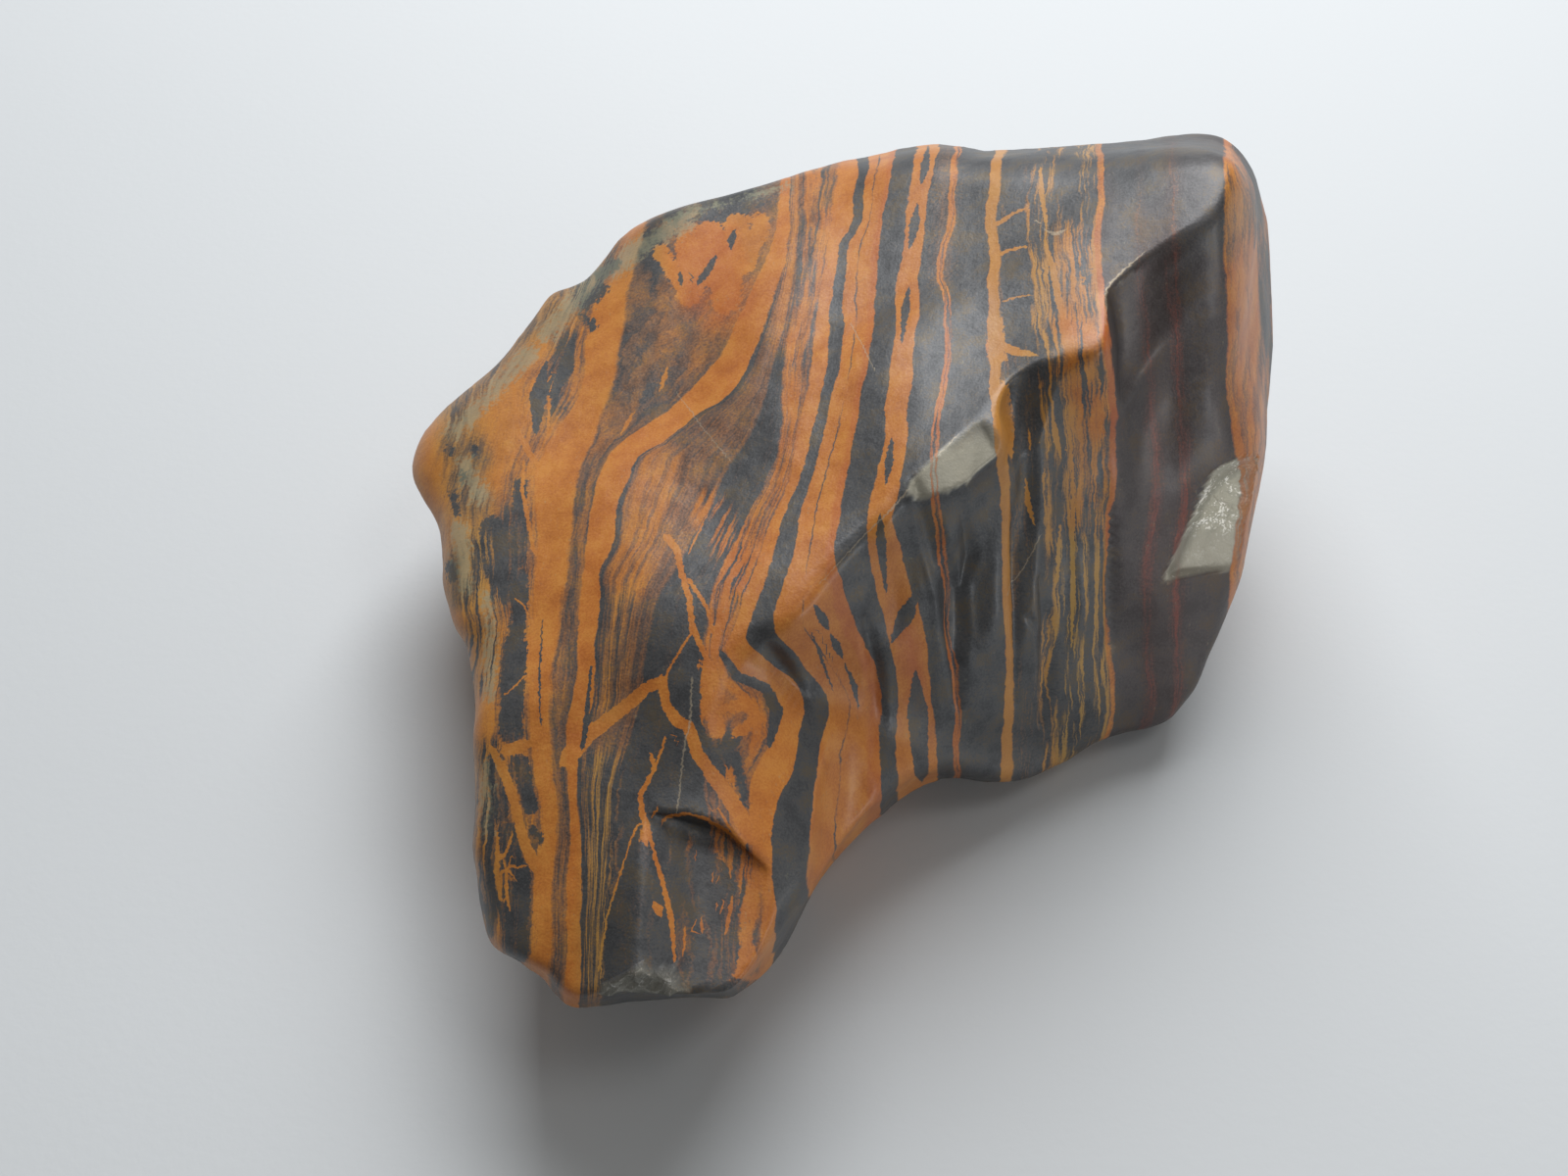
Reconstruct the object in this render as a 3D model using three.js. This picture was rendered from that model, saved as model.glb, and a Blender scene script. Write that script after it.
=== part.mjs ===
// Rough tiger iron: one broken and water-smoothed piece of banded stone, rebuilt as a single
// closed, faceted solid. Units are millimetres and +Z is up. The stone stands on a flat patch
// of its underside at z = 0.
//
// The form is laid out in a tilted working frame, because the mineral sheets of this stone
// stand on edge in it: u runs to the right, v runs up and away, w runs towards a raised eye
// point. A place named by (U, V) lies on the line from the eye through that point of the
// plane w = 0.
import * as THREE from 'three';

const EYE_DISTANCE = 250; // from the eye point to the plane w = 0
const EYE_RISE = THREE.MathUtils.degToRad(50); // height of the eye point above level
const GROUND = -31; // level of the resting patch in the working frame
const MIDDLE_X = 7.419; // middle of the stone along X in the working frame
const MIDDLE_Y = 10.806; // middle of the stone along Y in the working frame

const HEART = [6, 3.4, -14.6]; // a point well inside, from which every ray meets the skin once
const HALF_SPAN = [48, 54, 30]; // half of the stone's length along X, Y and Z, for even cells
const CELLS = 28; // cells along each edge of the ray grid: 12 x 28 x 28 triangles
const RAY_REACH = 100; // longer than any ray inside the stone
const RAY_STEPS = 20; // halvings when a ray is searched for the skin
const EVENING_ROUNDS = 25; // times the points are moved between their neighbours

const TOP_BLEND = 5; // rounding where the two parts of the upper face meet
const RIM_BLEND = 1; // rounding between the upper face and the side wall
const LEFT_RIM_BLEND = 3.2; // the same rounding on the upper left, which is worn the most
const EDGE_BLEND = 0.7; // rounding of the broken edges
const ROLL_BLEND = 9; // broad roll of the front face into the underside
const FOOT_EDGE_BLEND = 1.4; // rounding of the foot's own edges
const FOOT_BLEND = 2.5; // fillet where the foot leaves the main mass
const WALL_BLEND = 1.6; // rounding between the side wall and the broken faces
const SCAR_BLEND = 0.5; // rounding of the rims of the scars
const NOTCH_BLEND = 1.6; // rounding of the walls and rims of the notches

const FRONT_LEAN = THREE.MathUtils.degToRad(5); // inward lean of the wall above its widest line
const BACK_LEAN = THREE.MathUtils.degToRad(18); // inward lean of the wall below its widest line
const WALL_ALLOWANCE = 0.15; // keeps the waves of the skin inside the outline
const WALL_FROM_TOP = 3; // least depth of the wall's widest line below the upper face
// Depth w of that line, as its value at the middle and its change along u and v: round the main
// mass, and round the foot.
const BACK_LINE = [-21, -0.02, -0.3];
const FOOT_LINE = [-23.25, -0.45, -0.75];
const LINE_BLEND = 6; // rounding where the two lines meet
const UNDER_TOP_BLEND = 3; // rounding where they dip below the upper face

const FLUTE_TALL = 0.26; // height of the upright flutes of the front
const FLUTE_RATE = 0.62; // radians per millimetre across them
const FLUTE_TILT = 0.05; // radians per millimetre up them
const FLUTE_SWAY = 0.7; // swing of the flutes in radians
const FLUTE_SWAY_RATE = 0.11; // radians of that swing per millimetre up them
const WALL_FLUTE_SHARE = 0.6; // how much of the flutes shows in the side wall

const SIN_RISE = Math.sin(EYE_RISE);
const COS_RISE = Math.cos(EYE_RISE);

// The stone's widest outline, as places (U, V), anticlockwise from the upper right corner.
const OUTLINE = [
  [41.0, 46.8], [36.0, 45.9], [31.0, 45.6], [26.0, 44.5], [21.0, 44.5], [16.0, 44.9],
  [10.5, 44.5], [6.2, 43.8], [1.2, 43.0], [-4.0, 41.9], [-9.8, 40.4], [-12.8, 38.7],
  [-15.5, 36.1], [-17.8, 33.9], [-20.8, 31.4], [-24.0, 30.1], [-25.9, 27.0], [-28.8, 23.0],
  [-31.8, 20.4], [-34.3, 17.6], [-36.3, 15.0], [-37.1, 12.0], [-36.4, 8.5], [-34.9, 5.5],
  [-34.5, 3.0], [-34.5, 0.0], [-33.9, -3.6], [-32.3, -5.7], [-31.9, -9.0], [-31.2, -13.0],
  [-30.6, -19.0], [-30.9, -23.0], [-31.7, -26.6], [-31.2, -29.0], [-31.3, -32.5], [-30.6, -35.6],
  [-29.2, -37.0], [-26.6, -37.4], [-26.0, -38.6], [-24.7, -38.8], [-23.6, -40.0], [-22.0, -42.1],
  [-16.0, -41.7], [-11.0, -41.4], [-7.5, -41.8], [-5.5, -42.3], [-2.8, -40.0], [0.0, -35.9],
  [3.8, -30.0], [6.2, -26.8], [9.0, -23.6], [11.8, -21.3], [14.5, -19.7], [17.5, -18.7],
  [23.0, -19.0], [25.8, -19.4], [28.8, -18.4], [31.8, -16.5], [35.0, -16.0], [38.0, -15.3],
  [40.5, -13.8], [42.6, -10.5], [43.3, -6.8], [44.8, -2.8], [46.7, 1.5], [48.1, 7.5],
  [49.5, 14.0], [49.7, 19.0], [49.5, 26.0], [49.4, 32.5], [49.4, 38.0], [48.8, 42.2],
  [47.0, 45.0], [44.4, 46.6],
];
const OUTLINE_HUB = [2, 0]; // the outline is read as a radius round this place
const OUTLINE_STEPS = 720; // directions held round the hub
const OUTLINE_SPLITS = 40; // places read along each side of the outline
const BELL_REACH = 6; // steps to each side that smooth the outline
const BELL_SPREAD = 8; // twice the square of the smoothing bell's width in steps

function blendMin(a, b, width) {
  const overlap = Math.max(width - Math.abs(a - b), 0) / width;
  return Math.min(a, b) - overlap * overlap * width * 0.25;
}

function blendMax(a, b, width) {
  return -blendMin(-a, -b, width);
}

// 0 below low, 1 above high, eased between.
function eased(value, low, high) {
  const x = Math.min(Math.max((value - low) / (high - low), 0), 1);
  return x * x * (3 - 2 * x);
}

// One soft maximum of several distances, sharp far from the edges where they meet.
function blendAll(distances, width) {
  const highest = Math.max(...distances);
  const total = distances.reduce((sum, d) => sum + Math.exp((d - highest) / width), 0);
  return highest + width * Math.log(total);
}

function dot(a, b) {
  return a[0] * b[0] + a[1] * b[1] + a[2] * b[2];
}

function cross(a, b) {
  return [
    a[1] * b[2] - a[2] * b[1],
    a[2] * b[0] - a[0] * b[2],
    a[0] * b[1] - a[1] * b[0],
  ];
}

function minus(a, b) {
  return [a[0] - b[0], a[1] - b[1], a[2] - b[2]];
}

function unit(a) {
  const length = Math.sqrt(dot(a, a));
  return [a[0] / length, a[1] / length, a[2] / length];
}

// The point at depth w on the line from the eye through (U, V).
function place(U, V, w) {
  const shrink = (EYE_DISTANCE - w) / EYE_DISTANCE;
  return [U * shrink, V * shrink, w];
}

// (U, V) of a point: where its line to the eye crosses the plane w = 0.
function seenFromEye(p) {
  const spread = EYE_DISTANCE / (EYE_DISTANCE - p[2]);
  return [p[0] * spread, p[1] * spread];
}

// A direction given along X, Y and Z, turned into the working frame.
function turned(x, y, z) {
  return [x, y * SIN_RISE + z * COS_RISE, -y * COS_RISE + z * SIN_RISE];
}

function planeAt(direction, point) {
  const out = unit(direction);
  return { out, offset: dot(out, point) };
}

// The plane through three points, facing the eye.
function planeThrough(a, b, c) {
  const out = unit(cross(minus(b, a), minus(c, a)));
  const facing = out[2] < 0 ? out.map((x) => -x) : out;
  return { out: facing, offset: dot(facing, a) };
}

function height(plane, p) {
  return dot(plane.out, p) - plane.offset;
}

// The point of a plane met by the line from the eye through (U, V).
function onPlane(plane, U, V) {
  const across = plane.out[0] * U + plane.out[1] * V;
  const w = (plane.offset - across) / (plane.out[2] - across / EYE_DISTANCE);
  return place(U, V, w);
}

// Depth of a plane straight below or above (u, v) in the working frame.
function depthOf(plane, u, v) {
  return (plane.offset - plane.out[0] * u - plane.out[1] * v) / plane.out[2];
}

// The three corners that fix the upper face, and the low point that fixes the front face.
const MID_CORNER = place(-5.5, -6.5, 14);
const HIGH_CORNER = place(44.8, 39.2, -2);
const FAR_CORNER = place(-34.5, 17.5, -25);
const INNER_CORNER = place(5, -13.5, 5);

const upperFace = planeThrough(MID_CORNER, HIGH_CORNER, FAR_CORNER);
const footTop = planeThrough(
  onPlane(upperFace, -32, -9),
  onPlane(upperFace, -5.5, -8),
  place(-20, -40, 20),
);
const frontFace = planeThrough(MID_CORNER, HIGH_CORNER, INNER_CORNER);
const rightFace = planeThrough(
  onPlane(frontFace, 45.4, 36),
  onPlane(frontFace, 46.4, 18),
  place(49.9, 26, -20),
);
const footFlank = planeThrough(
  onPlane(frontFace, -5.5, -7.2),
  INNER_CORNER,
  place(3.2, -28.5, 11.5),
);
const footCrest = planeThrough(
  place(-5.5, -7.2, 13.2),
  place(-6.6, -38.1, 20.2),
  place(-1.2, -37.9, 19.2),
);
const frontRoll = planeAt([0.22, -0.8, 0.5], place(25.8, -17.6, -14));

// Four faces of small fresh breaks: across the ridge between the upper and the front face, on
// the right edge, and in the top and at the tip of the foot.
const bevelFace = planeThrough(
  onPlane(upperFace, 11.9, 9),
  onPlane(upperFace, 21.2, 17.8),
  place(18.5, 11.2, 7.6),
);
const ledgeFace = planeAt([0.42, -0.12, 0.9], place(44.5, 7, -16.1));
const pitFace = planeAt([0.12, 0.26, 0.96], place(-8, -31.5, 17.1));
const tipFace = planeAt([0, -0.75, 0.66], onPlane(footTop, -11.5, -39));

// The broken faces of the main mass and of the foot that carries its lower left corner.
const lowerLeft = planeAt(turned(-0.62, 0.55, -0.56), place(-24, 18, -48));
const mainFaces = [
  frontFace,
  rightFace,
  lowerLeft,
  planeAt(turned(-0.28, 0.8, 0.53), place(-4, 41, -34)),
  planeAt(turned(0.55, 0.6, -0.58), place(40, 33, -44)),
  planeAt(turned(0.12, 0.97, -0.2), place(10, 42, -40)),
];
const footFaces = [
  footFlank,
  footCrest,
  lowerLeft,
  planeAt([-0.75, 0, 0.66], place(-29.7, -20, 14)),
  planeAt(turned(0.08, -0.42, -0.9), place(-15, -41.6, 6)),
  planeAt([0.3, 0.95, 0], place(-5, 4, 0)),
];

// Shallow bowl-shaped scars: the face they lie in, the place (U, V) of the middle, the turn of
// the long way in degrees, half the length, half the width and the depth.
const SCARS = [
  { face: frontFace, at: [19.0, 0.5], turn: 84, half: [9, 3.6], depth: 1.2 },
  { face: frontFace, at: [10.5, -4.5], turn: 72, half: [10, 3.2], depth: 0.9 },
  { face: frontFace, at: [28.2, -1.5], turn: 88, half: [15, 2.6], depth: 0.7 },
  { face: frontFace, at: [39.0, 21.0], turn: 86, half: [22, 5.0], depth: 1.1 },
  { face: frontFace, at: [24.4, 19.0], turn: 80, half: [7, 3.1], depth: 2.0 },
  { face: frontFace, at: [24.2, 4.0], turn: 88, half: [13, 1.6], depth: 0.7 },
  { face: frontFace, at: [0.6, -8.6], turn: -50, half: [5.6, 1.7], depth: 2.1 },
  { face: footCrest, at: [-4.6, -13.0], turn: -20, half: [3.6, 3.0], depth: 0.8 },
  { face: tipFace, at: [-11.5, -40.0], turn: 3, half: [8, 2.6], depth: 0.8 },
];

// Swells of the front face between its scars: the place (U, V) of the middle, the reach across
// and along the sheets, and the height.
const SWELLS = [
  { at: [1.8, -3.8], reach: [4.6, 5.5], tall: 2.2 },
  { at: [10.6, 6.6], reach: [1.6, 3.0], tall: 0.8 },
  { at: [18.2, 11.8], reach: [3.0, 2.6], tall: 2.9 },
  { at: [21.4, 16.4], reach: [1.7, 3.5], tall: 1.1 },
  { at: [31.9, 24.8], reach: [3.2, 6.0], tall: 3.2 },
];

// Notches: a bowl like a scar, cut off by steep walls. Each wall stands at a place (U, V) of the
// same face and faces the given direction of the working frame.
const NOTCHES = [
  {
    face: frontFace, at: [36.8, 29.5], turn: 80, half: [10, 7.3], depth: 2.4,
    walls: [{ at: [33.2, 28.0], facing: [0.95, 0.1, 0.3] }],
  },
  {
    face: bevelFace, at: [17, 12.6], turn: 43, half: [9, 9], depth: 0.15,
    walls: [
      { at: [12.0, 8.8], facing: [0.75, 0.6, 0.25] },
      { at: [21.9, 15.2], facing: [-0.9, -0.3, 0.3] },
    ],
  },
  {
    face: ledgeFace, at: [44.5, 7.5], turn: 0, half: [12, 12], depth: 0.1,
    walls: [
      { at: [42.2, 7.5], facing: [0.85, -0.44, 0.3] },
      { at: [46.6, 13.4], facing: [0.4, -0.88, 0.25] },
      { at: [42.5, 1.8], facing: [0.1, 0.9, 0.4] },
    ],
  },
  {
    face: pitFace, at: [-7.5, -33], turn: 90, half: [11, 9], depth: 0.3,
    walls: [
      { at: [-8.5, -25.6], facing: [-0.3, -0.65, 0.7] },
      { at: [-12.4, -29.5], facing: [0.7, 0.2, 0.7] },
    ],
  },
];

// Slow waves that carry the water-worn unevenness of the whole skin: how fast each runs along
// u, v and w in radians per millimetre, where it starts, and its height.
const WAVES = [
  { along: [0.17, 0.07, -0.13], start: 0.4, tall: 0.34 },
  { along: [-0.09, 0.19, 0.14], start: 2.1, tall: 0.28 },
  { along: [0.11, -0.17, 0.23], start: 4.0, tall: 0.26 },
  { along: [0.37, 0.19, 0.12], start: 1.3, tall: 0.11 },
  { along: [-0.21, 0.41, -0.26], start: 5.2, tall: 0.1 },
  { along: [0.15, 0.31, 0.48], start: 3.3, tall: 0.1 },
];
const BEND_REACH = 4; // how far the waves are pulled sideways so that they never line up
const BEND_RATES = [0.07, 0.08, 0.06];

function unevenness(p) {
  const bent = [
    p[0] + BEND_REACH * Math.sin(BEND_RATES[0] * p[1] + 1),
    p[1] + BEND_REACH * Math.sin(BEND_RATES[1] * p[2] + 2),
    p[2] + BEND_REACH * Math.sin(BEND_RATES[2] * p[0] + 4),
  ];
  return WAVES.reduce(
    (sum, { along, start, tall }) => sum + tall * Math.sin(dot(along, bent) + start),
    0,
  );
}

// Upright flutes where softer sheets of the stone have worn back, in the front face and wall.
function flutes(p) {
  const [U, V] = seenFromEye(p);
  const swing = FLUTE_SWAY * Math.sin(FLUTE_SWAY_RATE * V);
  return FLUTE_TALL * Math.sin(FLUTE_RATE * U + FLUTE_TILT * V + swing);
}

// The outline as radii round the hub at even turns, lightly smoothed, with the factor that
// turns a radial gap into a distance square to the outline.
function outlineTable() {
  const turns = [];
  for (let i = 0; i < OUTLINE.length; i += 1) {
    const from = OUTLINE[i];
    const to = OUTLINE[(i + 1) % OUTLINE.length];
    for (let j = 0; j < OUTLINE_SPLITS; j += 1) {
      const x = from[0] + (to[0] - from[0]) * (j / OUTLINE_SPLITS) - OUTLINE_HUB[0];
      const y = from[1] + (to[1] - from[1]) * (j / OUTLINE_SPLITS) - OUTLINE_HUB[1];
      const turn = Math.atan2(y, x);
      turns.push([turn < 0 ? turn + 2 * Math.PI : turn, Math.hypot(x, y)]);
    }
  }
  turns.sort((a, b) => a[0] - b[0]);
  const first = turns[0];
  const last = turns[turns.length - 1];
  turns.unshift([last[0] - 2 * Math.PI, last[1]]);
  turns.push([first[0] + 2 * Math.PI, first[1]]);
  const raw = [];
  let k = 0;
  for (let i = 0; i < OUTLINE_STEPS; i += 1) {
    const turn = (i / OUTLINE_STEPS) * 2 * Math.PI;
    while (turns[k + 1][0] < turn) {
      k += 1;
    }
    const part = (turn - turns[k][0]) / (turns[k + 1][0] - turns[k][0]);
    raw.push(turns[k][1] + (turns[k + 1][1] - turns[k][1]) * part);
  }
  const radii = raw.map((_, i) => {
    let sum = 0;
    let weights = 0;
    for (let j = -BELL_REACH; j <= BELL_REACH; j += 1) {
      const weight = Math.exp((-j * j) / BELL_SPREAD);
      sum += weight * raw[(i + j + OUTLINE_STEPS) % OUTLINE_STEPS];
      weights += weight;
    }
    return sum / weights;
  });
  const step = (2 * Math.PI) / OUTLINE_STEPS;
  const squares = radii.map((radius, i) => {
    const ahead = radii[(i + 1) % OUTLINE_STEPS];
    const behind = radii[(i - 1 + OUTLINE_STEPS) % OUTLINE_STEPS];
    const slope = (ahead - behind) / (2 * step * radius);
    return 1 / Math.sqrt(1 + slope * slope);
  });
  return { radii, squares };
}

const outline = outlineTable();

function readRound(table, turn) {
  const at = (turn / (2 * Math.PI)) * OUTLINE_STEPS;
  const low = Math.floor(at);
  const part = at - low;
  const here = table[low % OUTLINE_STEPS];
  const next = table[(low + 1) % OUTLINE_STEPS];
  return here + (next - here) * part;
}

// Swells of the front face, each a bell round its middle.
function swells(p) {
  const [U, V] = seenFromEye(p);
  return SWELLS.reduce((sum, { at, reach, tall }) => {
    const across = (U - at[0]) / reach[0];
    const along = (V - at[1]) / reach[1];
    return sum + tall * Math.exp(-across * across - along * along);
  }, 0);
}

// Rounding of the upper rim: broad on the upper left, close elsewhere.
function rimBlend(p) {
  const [U, V] = seenFromEye(p);
  const worn = eased(-U, 2, 20) * eased(V, -30, -5);
  return RIM_BLEND + (LEFT_RIM_BLEND - RIM_BLEND) * worn;
}

// Distance outside the outline, measured square to it.
function outsideOutline(p) {
  const [U, V] = seenFromEye(p);
  const x = U - OUTLINE_HUB[0];
  const y = V - OUTLINE_HUB[1];
  const angle = Math.atan2(y, x);
  const turn = angle < 0 ? angle + 2 * Math.PI : angle;
  const gap = Math.hypot(x, y) - readRound(outline.radii, turn);
  const shrink = (EYE_DISTANCE - p[2]) / EYE_DISTANCE;
  return gap * readRound(outline.squares, turn) * shrink;
}

// Side wall: widest along a line that dips to the left and towards the foot, leaning inwards
// above and below it.
function sideWall(p) {
  const [u, v, w] = p;
  const backLine = dot(BACK_LINE, [1, u, v]);
  const footLine = dot(FOOT_LINE, [1, u, v]);
  const underTop = Math.min(depthOf(upperFace, u, v), depthOf(footTop, u, v)) - WALL_FROM_TOP;
  const widest = blendMin(blendMax(backLine, footLine, LINE_BLEND), underTop, UNDER_TOP_BLEND);
  const above = w - widest;
  const lean = above > 0 ? FRONT_LEAN : -BACK_LEAN;
  return (outsideOutline(p) - WALL_ALLOWANCE) * Math.cos(lean) + above * Math.sin(lean);
}

// A scar is a bowl: the stone is cut back wherever it stands above the bowl. Swells lift the
// bowls that they cross.
function bowlOf({ face, at, turn, half, depth }) {
  const radians = THREE.MathUtils.degToRad(turn);
  const flat = [Math.cos(radians), Math.sin(radians)];
  const climb = -(face.out[0] * flat[0] + face.out[1] * flat[1]) / face.out[2];
  const long = unit([flat[0], flat[1], climb]);
  return {
    out: face.out,
    middle: onPlane(face, at[0], at[1]),
    long,
    wide: cross(face.out, long),
    half,
    depth,
  };
}

const bowls = SCARS.map(bowlOf);
const notches = NOTCHES.map((notch) => ({
  bowl: bowlOf(notch),
  walls: notch.walls.map(({ at, facing }) => planeAt(facing, onPlane(notch.face, at[0], at[1]))),
}));

function aboveBowl(p, bowl) {
  const from = minus(p, bowl.middle);
  const reachLong = dot(from, bowl.long) / bowl.half[0];
  const reachWide = dot(from, bowl.wide) / bowl.half[1];
  const hollow = 1 - reachLong * reachLong - reachWide * reachWide;
  return dot(from, bowl.out) + bowl.depth * hollow;
}

// In a notch only what stands above the bowl and beyond every wall is cut away.
function aboveNotch(p, { bowl, walls }) {
  return walls.reduce((d, wall) => blendMin(d, height(wall, p), NOTCH_BLEND), aboveBowl(p, bowl));
}

// Below zero inside the stone, above zero outside it.
function skin(p) {
  const carved = flutes(p);
  const top = blendMax(height(upperFace, p), height(footTop, p), TOP_BLEND);
  const raised = swells(p);
  const front = carved - raised;
  const mainHeights = mainFaces.map((face) => height(face, p) + (face === frontFace ? front : 0));
  const mainMass = blendMax(blendAll(mainHeights, EDGE_BLEND), height(frontRoll, p), ROLL_BLEND);
  const foot = blendAll(footFaces.map((face) => height(face, p)), FOOT_EDGE_BLEND);
  const broken = blendMin(mainMass, foot, FOOT_BLEND);
  const rounded = blendMax(top, sideWall(p) + WALL_FLUTE_SHARE * carved, rimBlend(p));
  const whole = blendMax(rounded, broken, WALL_BLEND);
  const scarred = bowls.reduce(
    (d, bowl) => blendMax(d, aboveBowl(p, bowl) - raised, SCAR_BLEND),
    whole,
  );
  const notched = notches.reduce(
    (d, notch) => blendMax(d, aboveNotch(p, notch), NOTCH_BLEND),
    scarred,
  );
  return notched + unevenness(p);
}

// Height above level in the working frame.
function level(p) {
  return p[1] * COS_RISE + p[2] * SIN_RISE;
}

// Where the ray from the heart along a direction leaves the stone; rays that would pass the
// ground stop on it, which gives the flat resting patch.
function leaving(direction) {
  const way = unit(direction);
  const along = (t) => [HEART[0] + way[0] * t, HEART[1] + way[1] * t, HEART[2] + way[2] * t];
  const sinking = -level(way);
  const toGround = sinking > 1e-9 ? (level(HEART) - GROUND) / sinking : RAY_REACH;
  let near = 0;
  let far = Math.min(toGround, RAY_REACH);
  if (skin(along(far)) < 0) {
    return along(far);
  }
  for (let i = 0; i < RAY_STEPS; i += 1) {
    const middle = (near + far) / 2;
    if (skin(along(middle)) < 0) {
      near = middle;
    } else {
      far = middle;
    }
  }
  return along(near);
}

// Even spacing along a cube edge, a little closer at the corners.
function spaced(i) {
  const reach = 0.75 * (Math.PI / 4);
  return Math.tan(reach * ((2 * i) / CELLS - 1)) / Math.tan(reach);
}

// Moves every point to the middle of its neighbours and back out to the skin, which spreads
// the points evenly over the long faces.
function evened(points, neighbours) {
  return points.map((_, i) => {
    const sum = [0, 0, 0];
    neighbours[i].forEach((j) => {
      sum[0] += points[j][0];
      sum[1] += points[j][1];
      sum[2] += points[j][2];
    });
    return leaving(minus(sum.map((c) => c / neighbours[i].size), HEART));
  });
}

// The six sides of the ray grid share the points along their edges, so the skin is closed.
function stoneGeometry() {
  let points = [];
  const neighbours = [];
  const known = new Map();
  const pointAt = (i, j, k) => {
    const key = (i * (CELLS + 1) + j) * (CELLS + 1) + k;
    if (!known.has(key)) {
      known.set(key, points.length);
      const [x, y, z] = [i, j, k].map(spaced);
      points.push(leaving(turned(x * HALF_SPAN[0], y * HALF_SPAN[1], z * HALF_SPAN[2])));
      neighbours.push(new Set());
    }
    return known.get(key);
  };
  const sides = [
    (a, b) => pointAt(CELLS, a, b),
    (a, b) => pointAt(0, b, a),
    (a, b) => pointAt(b, CELLS, a),
    (a, b) => pointAt(a, 0, b),
    (a, b) => pointAt(a, b, CELLS),
    (a, b) => pointAt(b, a, 0),
  ];
  const cells = [];
  sides.forEach((side) => {
    for (let a = 0; a < CELLS; a += 1) {
      for (let b = 0; b < CELLS; b += 1) {
        const cell = [side(a, b), side(a + 1, b), side(a + 1, b + 1), side(a, b + 1)];
        cell.forEach((corner, i) => {
          neighbours[corner].add(cell[(i + 1) % 4]).add(cell[(i + 3) % 4]);
        });
        cells.push(cell);
      }
    }
  });
  for (let round = 0; round < EVENING_ROUNDS; round += 1) {
    points = evened(points, neighbours);
  }
  const offSkin = (i, j) => {
    const middle = points[i].map((c, axis) => (c + points[j][axis]) / 2);
    return Math.abs(skin(middle));
  };
  // The fold of each cell runs along the diagonal that lies closer to the skin.
  const triangles = cells.flatMap(([p00, p10, p11, p01]) => {
    if (offSkin(p00, p11) < offSkin(p10, p01)) {
      return [p00, p10, p11, p00, p11, p01];
    }
    return [p00, p10, p01, p10, p11, p01];
  });
  const positions = points.flatMap(([u, v, w]) => [
    u - MIDDLE_X,
    v * SIN_RISE - w * COS_RISE - MIDDLE_Y,
    v * COS_RISE + w * SIN_RISE - GROUND,
  ]);
  const geometry = new THREE.BufferGeometry();
  geometry.setAttribute('position', new THREE.Float32BufferAttribute(positions, 3));
  geometry.setIndex(triangles);
  geometry.computeVertexNormals();
  return geometry;
}

const tigerIron = new THREE.MeshStandardMaterial({
  name: 'tiger iron',
  color: 0x8a5a34,
  roughness: 0.45,
  metalness: 0,
  flatShading: true,
});

const stone = new THREE.Mesh(stoneGeometry(), tigerIron);
stone.name = 'stone';

const part = new THREE.Group();
part.name = 'rough_tiger_iron';
part.add(stone);

export default part;
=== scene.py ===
"""Rough tiger iron on a plain pale floor: a broken, water-smoothed piece of banded stone.

The stone's skin is one closed surface found by rays from a point inside it, and its bands are
sheets that stand on edge and run through the whole piece. Lengths are in millimetres in a tilted
working frame until the mesh is made; the mesh, the lights and the camera are in metres.
"""

import bpy
import numpy as np
from mathutils import Matrix, Vector


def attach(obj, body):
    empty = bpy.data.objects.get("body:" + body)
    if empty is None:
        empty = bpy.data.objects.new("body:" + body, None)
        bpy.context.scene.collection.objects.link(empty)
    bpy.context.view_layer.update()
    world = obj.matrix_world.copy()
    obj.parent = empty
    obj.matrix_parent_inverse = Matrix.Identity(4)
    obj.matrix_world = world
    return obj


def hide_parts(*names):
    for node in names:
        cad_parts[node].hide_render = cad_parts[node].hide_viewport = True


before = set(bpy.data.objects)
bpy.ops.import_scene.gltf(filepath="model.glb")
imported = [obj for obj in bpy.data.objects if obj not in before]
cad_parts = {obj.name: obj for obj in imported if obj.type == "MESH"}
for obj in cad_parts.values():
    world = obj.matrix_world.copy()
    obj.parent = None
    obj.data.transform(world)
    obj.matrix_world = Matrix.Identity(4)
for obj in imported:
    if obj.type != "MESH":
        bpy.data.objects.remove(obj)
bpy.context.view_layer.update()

# ---------------------------------------------------------------------------
# The working frame: u to the right, v up and away, w towards a raised eye point.
# A place named by (U, V) lies on the line from the eye through that point of w = 0.
# ---------------------------------------------------------------------------
MM = 0.001
EYE_DISTANCE = 250.0  # from the eye to the plane w = 0
EYE_RISE = np.radians(50.0)
SIN_RISE, COS_RISE = np.sin(EYE_RISE), np.cos(EYE_RISE)
GROUND = -31.0  # level of the floor
MIDDLE_X, MIDDLE_Y = 7.419, 10.806  # middle of the stone's box


def unit(a):
    """Vectors at length one."""
    return a / np.linalg.norm(a, axis=-1, keepdims=True)


def place(U, V, w):
    """The point at depth w on the line from the eye through (U, V)."""
    shrink = (EYE_DISTANCE - w) / EYE_DISTANCE
    return np.array([U * shrink, V * shrink, w])


def seen_from_eye(p):
    """(U, V) of points: where their lines to the eye cross the plane w = 0."""
    spread = EYE_DISTANCE / (EYE_DISTANCE - p[..., 2])
    return p[..., 0] * spread, p[..., 1] * spread


def turned(x, y, z):
    """A direction along the part's X, Y and Z, turned into the working frame."""
    return np.stack([x, y * SIN_RISE + z * COS_RISE, -y * COS_RISE + z * SIN_RISE], -1)


def turned_back(axis):
    """A direction of the working frame along the part's X, Y and Z."""
    u, v, w = axis
    return np.array([u, v * SIN_RISE - w * COS_RISE, v * COS_RISE + w * SIN_RISE])


def level(p):
    """Height of points of the working frame above its own level zero."""
    return p[..., 1] * COS_RISE + p[..., 2] * SIN_RISE


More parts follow.
